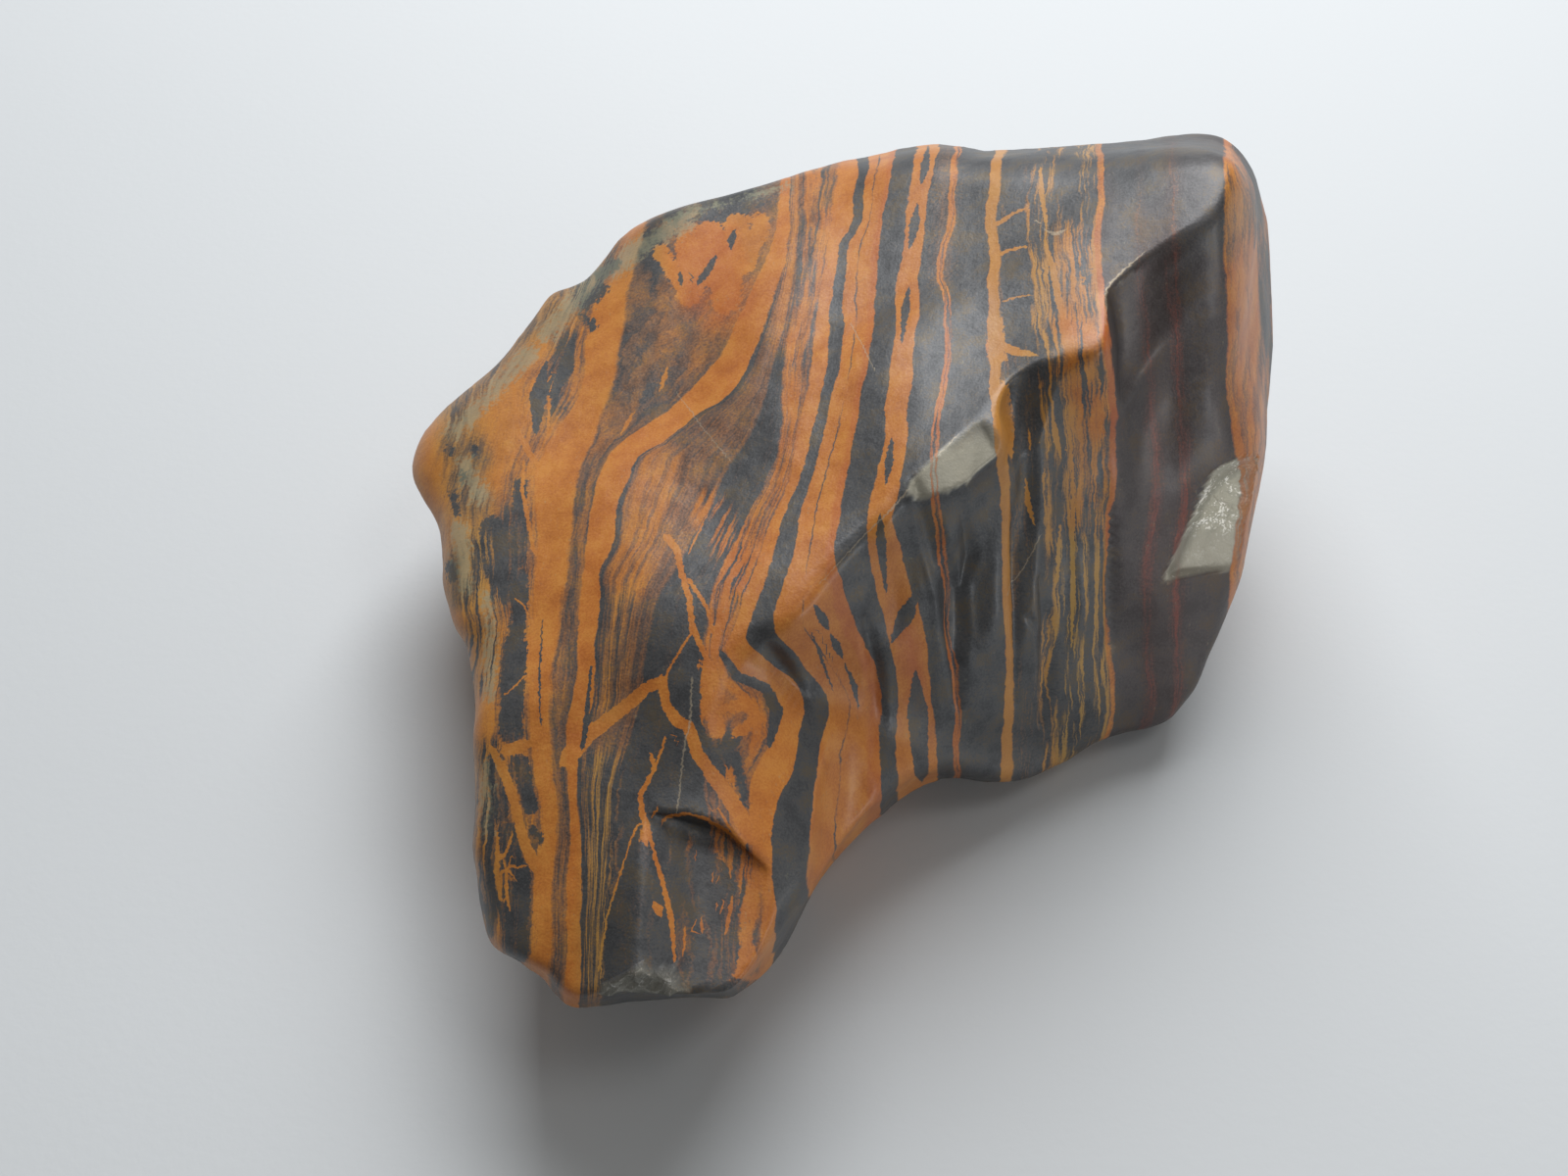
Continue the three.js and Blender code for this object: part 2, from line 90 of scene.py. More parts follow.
def to_part(p):
    """Points of the working frame in millimetres, as points of the part's frame in metres."""
    x = p[..., 0] - MIDDLE_X
    y = p[..., 1] * SIN_RISE - p[..., 2] * COS_RISE - MIDDLE_Y
    z = level(p) - GROUND
    return np.stack([x, y, z], -1) * MM


def plane_at(direction, point):
    """The plane through a point that faces a direction, as its outward unit and its offset."""
    out = unit(np.array(direction, float))
    return out, float(out @ point)


def plane_through(a, b, c):
    """The plane through three points, facing the eye."""
    out = unit(np.cross(b - a, c - a))
    out = -out if out[2] < 0 else out
    return out, float(out @ a)


def height(plane, p):
    """How far points stand outside a plane."""
    return p @ plane[0] - plane[1]


def on_plane(plane, U, V):
    """The point of a plane met by the line from the eye through (U, V)."""
    out, offset = plane
    across = out[0] * U + out[1] * V
    return place(U, V, (offset - across) / (out[2] - across / EYE_DISTANCE))


def depth_of(plane, u, v):
    """w of a plane at (u, v)."""
    out, offset = plane
    return (offset - out[0] * u - out[1] * v) / out[2]


# ---------------------------------------------------------------------------
# The shape: faces, wall, scars, notches and slow waves, blended into one skin
# ---------------------------------------------------------------------------
# Widths of the rounding where the faces meet.
TOP_BLEND = 5.0
RIM_BLEND = 1.0
EDGE_BLEND = 0.7
ROLL_BLEND = 9.0
FOOT_EDGE_BLEND = 1.4
FOOT_BLEND = 2.5
WALL_BLEND = 1.6
SCAR_BLEND = 0.5
FRESH_BLEND = 0.15
CHIP_BLEND = 0.12
NOTCH_BLEND = 0.4

# Parts of the upper rim with a broader rounding, on the left and at the back: its width, which way
# along U it grows, and the values of U that way and of V between which it eases in.
BROAD_RIMS = ((3.2, -1, (2, 20), (-30, -5)), (2.8, 1, (-14, 0), (33, 40)))

# The side wall: how it leans in front of and behind its widest line, how far it stands out for
# the slow waves, and how far the line stays below the upper face. The line's depth w is given by
# its value where u and v are zero and its change along u and v, for the main mass and the foot.
FRONT_LEAN = np.radians(5.0)
BACK_LEAN = np.radians(18.0)
WALL_ALLOWANCE = 0.15
WALL_FROM_TOP = 3.0
BACK_LINE = (-21.0, -0.02, -0.3)
FOOT_LINE = (-23.25, -0.45, -0.75)
LINE_BLEND = 6.0
UNDER_TOP_BLEND = 3.0

# Flutes of the front: height, radians per millimetre across and up, their swing and its rate.
FLUTE_TALL = 0.26
FLUTE_RATES = (0.62, 0.05)
FLUTE_SWAY, FLUTE_SWAY_RATE = 0.7, 0.11
WALL_FLUTE_SHARE = 0.6

# Outline of the stone as places (U, V), anticlockwise from the upper right, and how it is read:
# places along each side, directions round the hub, and a bell that smooths over a few of them.
OUTLINE = np.array([
    (41.0, 46.8), (36.0, 45.9), (31.0, 45.6), (26.0, 44.5), (21.0, 44.5), (16.0, 44.9),
    (10.5, 44.5), (6.2, 43.8), (1.2, 43.0), (-4.0, 41.9), (-9.8, 40.4), (-12.8, 38.7),
    (-15.5, 36.1), (-17.8, 33.9), (-20.8, 31.4), (-24.0, 30.1), (-25.9, 27.0), (-28.8, 23.0),
    (-31.8, 20.4), (-34.3, 17.6), (-36.3, 15.0), (-37.1, 12.0), (-36.4, 8.5), (-34.9, 5.5),
    (-34.5, 3.0), (-34.5, 0.0), (-33.9, -3.6), (-32.3, -5.7), (-31.9, -9.0), (-31.2, -13.0),
    (-30.6, -19.0), (-30.9, -23.0), (-31.7, -26.6), (-31.2, -29.0), (-31.3, -32.5),
    (-30.6, -35.6), (-29.2, -37.0), (-26.6, -37.4), (-26.0, -38.6), (-24.7, -38.8),
    (-23.6, -40.0), (-22.0, -42.1), (-16.0, -41.7), (-11.0, -41.4), (-7.5, -41.8), (-5.5, -42.3),
    (-2.8, -40.0), (0.0, -35.9), (3.8, -30.0), (6.2, -26.8), (9.0, -23.6), (11.8, -21.3),
    (14.5, -19.7), (17.5, -18.7), (23.0, -19.0), (25.8, -19.4), (28.8, -18.4), (31.8, -16.5),
    (35.0, -16.0), (38.0, -15.3), (40.5, -13.8), (42.6, -10.5), (43.3, -6.8), (44.8, -2.8),
    (46.7, 1.5), (48.1, 7.5), (49.5, 14.0), (49.7, 19.0), (49.5, 26.0), (49.4, 32.5),
    (49.4, 38.0), (48.8, 42.2), (47.0, 45.0), (44.4, 46.6),
])
OUTLINE_HUB = np.array([2.0, 0.0])
OUTLINE_SPLITS = 40
OUTLINE_STEPS = 720
BELL_REACH = 6
BELL_SPREAD = 8.0

# The ray grid: rays from the heart through the lattice of a box, given by its half lengths, spaced
# by the tangents of even turns. Coarse cells are spread evenly first, then each is split for the
# fine skin.
HEART = np.array([6.0, 3.4, -14.6])
HALF_SPAN = np.array([48.0, 54.0, 30.0])
SPACING_TURN = 0.75 * np.pi / 4
COARSE_CELLS = 32
SPLITS = 4
EVENING_ROUNDS = 25
FINE_EVENING_ROUNDS = 3
RAY_REACH = 100.0  # longer than any ray inside the stone
RAY_STEPS = 20  # halvings of each ray
LEAST_SINKING = 1e-9  # keeps level and rising rays from a division by zero
RESTING_GAP = 1e-6  # height over the floor under which a point is on the resting patch

# Corners that the large faces share, and the faces.
MID_CORNER = place(-5.5, -6.5, 14.0)
HIGH_CORNER = place(44.8, 39.2, -2.0)
FAR_CORNER = place(-34.5, 17.5, -25.0)
INNER_CORNER = place(5.0, -13.5, 5.0)

upper_face = plane_through(MID_CORNER, HIGH_CORNER, FAR_CORNER)
foot_top = plane_through(
    on_plane(upper_face, -32.0, -9.0), on_plane(upper_face, -5.5, -8.0), place(-20.0, -40.0, 20.0)
)
front_face = plane_through(MID_CORNER, HIGH_CORNER, INNER_CORNER)
right_face = plane_through(
    on_plane(front_face, 45.4, 36.0), on_plane(front_face, 46.4, 18.0), place(49.9, 26.0, -20.0)
)
foot_flank = plane_through(
    on_plane(front_face, -5.5, -7.2), INNER_CORNER, place(3.2, -28.5, 11.5)
)
foot_crest = plane_through(
    place(-5.5, -7.2, 13.2), place(-6.6, -38.1, 20.2), place(-1.2, -37.9, 19.2)
)
bevel_face = plane_through(
    on_plane(upper_face, 11.9, 9.0), on_plane(upper_face, 21.2, 17.8), place(18.5, 11.2, 7.6)
)
ledge_face = plane_at((0.42, -0.12, 0.9), place(44.5, 7.0, -16.6))
pit_face = plane_at((0.1, 0.3, 0.95), place(-8.0, -31.5, 16.9))
tip_face = plane_at((0.0, -0.75, 0.66), on_plane(foot_top, -11.5, -39.0))
front_roll = plane_at((0.22, -0.8, 0.5), place(25.8, -17.6, -14.0))
lower_left = plane_at(turned(-0.62, 0.55, -0.56), place(-24.0, 18.0, -48.0))

other_main_faces = [
    right_face,
    lower_left,
    plane_at(turned(-0.28, 0.8, 0.53), place(-4.0, 41.0, -34.0)),
    plane_at(turned(0.55, 0.6, -0.58), place(40.0, 33.0, -44.0)),
    plane_at(turned(0.12, 0.97, -0.2), place(10.0, 42.0, -40.0)),
]
foot_faces = [
    foot_flank,
    foot_crest,
    lower_left,
    plane_at((-0.75, 0.0, 0.66), place(-29.7, -20.0, 14.0)),
    plane_at(turned(0.08, -0.42, -0.9), place(-15.0, -41.6, 6.0)),
    plane_at((0.3, 0.95, 0.0), place(-5.0, 4.0, 0.0)),
]

# Bowl-shaped scars: face, (U, V) of the middle, turn of the long way in degrees, half length and
# half width, depth.
SCARS = [
    (front_face, (19.0, 0.5), 84, (9.0, 3.6), 1.2),
    (front_face, (10.5, -4.5), 72, (10.0, 3.2), 0.9),
    (front_face, (28.2, -1.5), 88, (15.0, 2.6), 0.7),
    (front_face, (39.0, 21.0), 86, (22.0, 5.0), 1.1),
    (front_face, (24.4, 19.0), 80, (7.0, 3.1), 2.0),
    (front_face, (24.2, 4.0), 88, (13.0, 1.6), 0.7),
    (front_face, (0.6, -8.6), -50, (5.6, 1.7), 2.1),
    (foot_crest, (-4.6, -13.0), -20, (3.6, 3.0), 0.8),
]

# Swells of the front face between its scars: (U, V) of the middle, reach across and along the
# sheets, height.
SWELLS = [
    ((1.8, -3.8), (4.6, 5.5), 2.2),
    ((10.6, 6.6), (1.6, 3.0), 0.8),
    ((14.6, 10.9), (2.0, 2.0), 1.15),
    ((17.6, 12.2), (2.2, 2.0), 3.5),
    ((20.6, 14.6), (1.9, 2.2), 3.4),
    ((31.9, 24.8), (3.2, 6.0), 3.2),
]

# Notches: a bowl, cut off by steep walls. Each wall stands at a place (U, V) of the bowl's face
# and faces the given direction of the working frame. A fresh notch ends with how pale its
# break is, partly its own colour and partly painted reflection, and how torn it is.
WORN_NOTCHES = [
    (front_face, (36.8, 29.5), 80, (10.0, 7.3), 2.4, [((33.2, 28.0), (0.95, 0.1, 0.3))]),
]
FRESH_NOTCHES = [
    (bevel_face, (17.0, 12.6), 43, (14.0, 14.0), 0.4,
     [((10.8, 7.8), (0.75, 0.6, 0.25)), ((22.2, 14.6), (-0.5, -0.2, 0.85))], 0.8, 0.05),
    (ledge_face, (44.5, 7.5), 0, (12.0, 12.0), 0.1,
     [((41.4, 6.5), (0.85, -0.36, 0.35)), ((47.2, 13.2), (0.55, -0.75, 0.35)),
      ((43.0, 1.6), (0.2, 0.8, 0.55))], 1.0, 1.3),
    (pit_face, (-7.5, -33.0), 90, (11.0, 9.0), 0.3,
     [((-9.5, -24.7), (-0.12, -0.88, 0.46)), ((-5.6, -25.8), (-0.52, -0.72, 0.46)),
      ((-9.9, -31.0), (0.45, 0.25, 0.86))], 0.0, 0.15),
]

# Small fresh chips along the tip of the foot, in the terms of the scars, and how pale their
# breaks are, partly painted reflection, and how torn.
CHIPS = [
    (tip_face, (-13.5, -40.0), 3, (5.5, 2.6), 0.9),
    (tip_face, (-5.5, -40.6), -25, (3.6, 1.8), 0.8),
]
CHIP_LOOK = (0.38, 1.5)

# Slow waves of the whole skin: rates along u, v and w, start, height. They are read at points
# pulled sideways by three sines: axis that the sine runs along, its rate and start.
WAVES = [
    ((0.17, 0.07, -0.13), 0.4, 0.34),
    ((-0.09, 0.19, 0.14), 2.1, 0.28),
    ((0.11, -0.17, 0.23), 4.0, 0.26),
    ((0.37, 0.19, 0.12), 1.3, 0.11),
    ((-0.21, 0.41, -0.26), 5.2, 0.1),
    ((0.15, 0.31, 0.48), 3.3, 0.1),
]
PULL = 4.0
PULLS = ((1, 0.07, 1.0), (2, 0.08, 2.0), (0, 0.06, 4.0))


def blend_min(a, b, width):
    """Lower of two distances, with a parabola of the given width where they cross."""
    overlap = np.maximum(width - np.abs(a - b), 0.0) / width
    return np.minimum(a, b) - overlap * overlap * width * 0.25


def blend_max(a, b, width):
    """Higher of two distances, rounded in the same way."""
    return -blend_min(-a, -b, width)


def blend_all(distances, width):
    """Soft maximum of a list of distances: the log of the sum of their exponentials."""
    stack = np.stack(distances)
    highest = stack.max(0)
    return highest + width * np.log(np.exp((stack - highest) / width).sum(0))


def eased(value, low, high):
    """0 below low, 1 above high, eased between."""
    x = np.clip((value - low) / (high - low), 0, 1)
    return x * x * (3 - 2 * x)


def unevenness(p):
    """Sum of the slow waves, each a sine along its own direction."""
    pulled = [
        p[..., i] + PULL * np.sin(rate * p[..., axis] + start)
        for i, (axis, rate, start) in enumerate(PULLS)
    ]
    bent = np.stack(pulled, -1)
    return sum(tall * np.sin(bent @ np.array(along) + start) for along, start, tall in WAVES)


def flutes(p):
    """Upright flutes across the front: one sine along U, bent by a slower one along V."""
    U, V = seen_from_eye(p)
    swing = FLUTE_SWAY * np.sin(FLUTE_SWAY_RATE * V)
    return FLUTE_TALL * np.sin(FLUTE_RATES[0] * U + FLUTE_RATES[1] * V + swing)


def outline_tables():
    """Radius of the outline round the hub at even turns, smoothed by a bell, and the cosine
    between the radius and the square to the outline."""
    part = np.arange(OUTLINE_SPLITS)[:, None] / OUTLINE_SPLITS
    following = np.roll(OUTLINE, -1, axis=0)
    dense = [a + (b - a) * part for a, b in zip(OUTLINE, following)]
    offset = np.concatenate(dense) - OUTLINE_HUB
    turn = np.arctan2(offset[:, 1], offset[:, 0]) % (2 * np.pi)
    order = np.argsort(turn)
    even = np.arange(OUTLINE_STEPS) / OUTLINE_STEPS * 2 * np.pi
    reach = np.hypot(offset[:, 0], offset[:, 1])[order]
    raw = np.interp(even, turn[order], reach, period=2 * np.pi)
    shifts = np.arange(-BELL_REACH, BELL_REACH + 1)
    bell = np.exp(-shifts ** 2 / BELL_SPREAD)
    bell /= bell.sum()
    radii = sum(weight * np.roll(raw, shift) for weight, shift in zip(bell, shifts))
    step = 2 * np.pi / OUTLINE_STEPS
    slope = (np.roll(radii, -1) - np.roll(radii, 1)) / (2 * step * radii)
    return even, radii, 1 / np.sqrt(1 + slope * slope)


TURNS, RADII, SQUARES = outline_tables()


def line_depth(line, u, v):
    """Depth of a straight line of the wall at (u, v)."""
    return line[0] + line[1] * u + line[2] * v


def widest_depth(u, v):
    """Depth of the wall's widest line: it dips to the left and towards the foot, and always
    stays below the upper face."""
    line = blend_max(line_depth(BACK_LINE, u, v), line_depth(FOOT_LINE, u, v), LINE_BLEND)
    under_top = np.minimum(depth_of(upper_face, u, v), depth_of(foot_top, u, v)) - WALL_FROM_TOP
    return blend_min(line, under_top, UNDER_TOP_BLEND)


def side_wall(p):
    """Wall widest along a dipping line, leaning inwards above and below it."""
    u, v, w = p[..., 0], p[..., 1], p[..., 2]
    U, V = seen_from_eye(p)
    x, y = U - OUTLINE_HUB[0], V - OUTLINE_HUB[1]
    turn = np.arctan2(y, x) % (2 * np.pi)
    gap = np.hypot(x, y) - np.interp(turn, TURNS, RADII, period=2 * np.pi)
    square = np.interp(turn, TURNS, SQUARES, period=2 * np.pi)
    outside = gap * square * (EYE_DISTANCE - w) / EYE_DISTANCE - WALL_ALLOWANCE
    above = w - widest_depth(u, v)
    lean = np.where(above > 0, FRONT_LEAN, -BACK_LEAN)
    return outside * np.cos(lean) + above * np.sin(lean)


def behind_rim(p):
    """How far points lie behind the widest line of the wall, where the eye point can't see: half
    of h plus the root of h squared plus one, eased in as h, the depth behind it, passes zero."""
    hidden = widest_depth(p[..., 0], p[..., 1]) - p[..., 2]
    return 0.5 * (hidden + np.sqrt(hidden * hidden + 1.0)) * eased(hidden, -1.0, 3.0)


def bowl_of(face, at, turn, half, depth):
    """Middle, outward, long and wide directions of a scar that lies in a face."""
    out = face[0]
    flat = np.array([np.cos(np.radians(turn)), np.sin(np.radians(turn))])
    long_way = unit(np.array([flat[0], flat[1], -(out[:2] @ flat) / out[2]]))
    return on_plane(face, *at), out, long_way, np.cross(out, long_way), half, depth


def above_bowl(p, bowl):
    """Height above a bowl: the face, sunk by the depth times one minus the square distance."""
    middle, out, long_way, wide_way, half, depth = bowl
    offset = p - middle
    reach = ((offset @ long_way) / half[0]) ** 2 + ((offset @ wide_way) / half[1]) ** 2
    return offset @ out + depth * (1 - reach)


bowls = [bowl_of(*scar) for scar in SCARS]
chips = [bowl_of(*chip) for chip in CHIPS]
worn_notches, fresh_notches = [
    [
        (bowl_of(*notch[:5]), [plane_at(way, on_plane(notch[0], *at)) for at, way in notch[5]])
        for notch in group
    ]
    for group in (WORN_NOTCHES, FRESH_NOTCHES)
]


def above_notch(p, notch):
    """Height above a notch: the lowest of the heights above its bowl and beyond its walls."""
    bowl, walls = notch
    above = above_bowl(p, bowl)
    for wall in walls:
        above = blend_min(above, height(wall, p), NOTCH_BLEND)
    return above


def swells(p):
    """Bell-shaped swells of the front face, each the height times e to the minus square reach."""
    U, V = seen_from_eye(p)
    return sum(
        tall * np.exp(-((U - at[0]) / reach[0]) ** 2 - ((V - at[1]) / reach[1]) ** 2)
        for at, reach, tall in SWELLS
    )


def rim_blend(p):
    """Rounding of the upper rim: broad on the upper left and at the back, close elsewhere."""
    U, V = seen_from_eye(p)
    return RIM_BLEND + sum(
        (broad - RIM_BLEND) * eased(way * U, *across) * eased(V, *up)
        for broad, way, across, up in BROAD_RIMS
    )


def unscarred(p):
    """Distance outside the faces and the wall, before scars and waves."""
    carved = flutes(p)
    top = blend_max(height(upper_face, p), height(foot_top, p), TOP_BLEND)
    main = [height(front_face, p) + carved - swells(p)]
    main += [height(face, p) for face in other_main_faces]
    main_mass = blend_max(blend_all(main, EDGE_BLEND), height(front_roll, p), ROLL_BLEND)
    foot = blend_all([height(face, p) for face in foot_faces], FOOT_EDGE_BLEND)
    both = blend_min(main_mass, foot, FOOT_BLEND)
    rounded = blend_max(top, side_wall(p) + WALL_FLUTE_SHARE * carved, rim_blend(p))
    return blend_max(rounded, both, WALL_BLEND)


def worn_skin(p):
    """The long-worn skin, below zero inside the stone: faces, wall, scars and slow waves."""
    whole = unscarred(p)
    raised = swells(p)
    for bowl in bowls:
        whole = blend_max(whole, above_bowl(p, bowl) - raised, SCAR_BLEND)
    for notch in worn_notches:
        whole = blend_max(whole, above_notch(p, notch), SCAR_BLEND)
    return whole + unevenness(p)


def skin(p):
    """The skin as it is, below zero inside: the worn skin cut back by fresh notches and chips."""
    whole = worn_skin(p)
    waves = unevenness(p)
    for notch in fresh_notches:
        whole = blend_max(whole, above_notch(p, notch) + waves, FRESH_BLEND)
    for chip in chips:
        whole = blend_max(whole, above_bowl(p, chip), CHIP_BLEND)
    return whole


def leaving(way):
    """Points where rays from the heart along given directions leave the stone, found by halving;
    rays that would pass the ground stop on it, which gives the flat resting patch."""
    way = unit(way)
    sinking = -level(way)
    to_ground = (level(HEART) - GROUND) / np.maximum(sinking, LEAST_SINKING)
    end = np.minimum(to_ground, RAY_REACH)
    near, far = np.zeros_like(end), end.copy()
    for _ in range(RAY_STEPS):
        middle = (near + far) / 2
        inside = skin(HEART + way * middle[..., None]) < 0
        near = np.where(inside, middle, near)
        far = np.where(inside, far, middle)
    return HEART + way * far[..., None]


def cube_lattice(cells):
    """Corners of a cube's surface grid as whole numbers, and the four corners of each cell,
    anticlockwise from outside, so that the six sides share the corners along their edges."""
    a, b = np.meshgrid(np.arange(cells + 1), np.arange(cells + 1), indexing="ij")
    low, high = np.zeros_like(a), np.full_like(a, cells)
    sides = [(high, a, b), (low, b, a), (b, high, a), (a, low, b), (a, b, high), (b, a, low)]
    corners = np.stack([np.stack(side, -1) for side in sides])
    row = cells + 1
    keys = (corners[..., 0] * row + corners[..., 1]) * row + corners[..., 2]
    found, index = np.unique(keys, return_inverse=True)
    index = index.reshape(keys.shape)
    lattice = np.stack([found // row ** 2, found // row % row, found % row], -1)
    near, far = slice(None, -1), slice(1, None)
    ways = ((near, near), (far, near), (far, far), (near, far))
    quads = np.stack([index[:, i, j] for i, j in ways], -1)
    return lattice, index, quads.reshape(-1, 4)


def evened(points, quads):
    """Every point moved to the middle of the points that share a cell edge with it."""
    following = np.roll(quads, -1, axis=1)
    ends = np.concatenate([quads, following]).reshape(-1)
    others = np.concatenate([following, quads]).reshape(-1)
    count = np.bincount(ends, minlength=len(points))[:, None]
    totals = [np.bincount(ends, points[others, axis], len(points)) for axis in range(3)]
    return np.stack(totals, -1) / count


def stone_grid():
    """Points on the stone's skin and the cells between them: a coarse ray grid is spread evenly
    over the skin first, then each cell is split and the new points are taken out to the skin."""
    lattice, index, quads = cube_lattice(COARSE_CELLS)
    spaced = np.tan(SPACING_TURN * (2 * lattice / COARSE_CELLS - 1)) / np.tan(SPACING_TURN)
    points = leaving(turned(*(spaced * HALF_SPAN).transpose()))
    for _ in range(EVENING_ROUNDS):
        points = leaving(evened(points, quads) - HEART)

    fine_cells = COARSE_CELLS * SPLITS
    fine_lattice, fine_index, fine_quads = cube_lattice(fine_cells)
    at = np.arange(fine_cells + 1) / SPLITS
    low = np.minimum(at.astype(int), COARSE_CELLS - 1)
    part = at - low
    fine = np.zeros((len(fine_lattice), 3))
    for side in range(6):
        coarse = points[index[side]]
        rows = coarse[low] + (coarse[low + 1] - coarse[low]) * part[:, None, None]
        both = rows[:, low] + (rows[:, low + 1] - rows[:, low]) * part[None, :, None]
        fine[fine_index[side]] = both
    for _ in range(FINE_EVENING_ROUNDS):
        fine = evened(fine, fine_quads)
    return leaving(fine - HEART), fine_quads


# ---------------------------------------------------------------------------
# The pattern: seams between the bands, bands, veins, drifts and stains, as places (U, V)
# ---------------------------------------------------------------------------
SHEET_LEVEL = 5.0  # V at which the distance across the sheets is measured

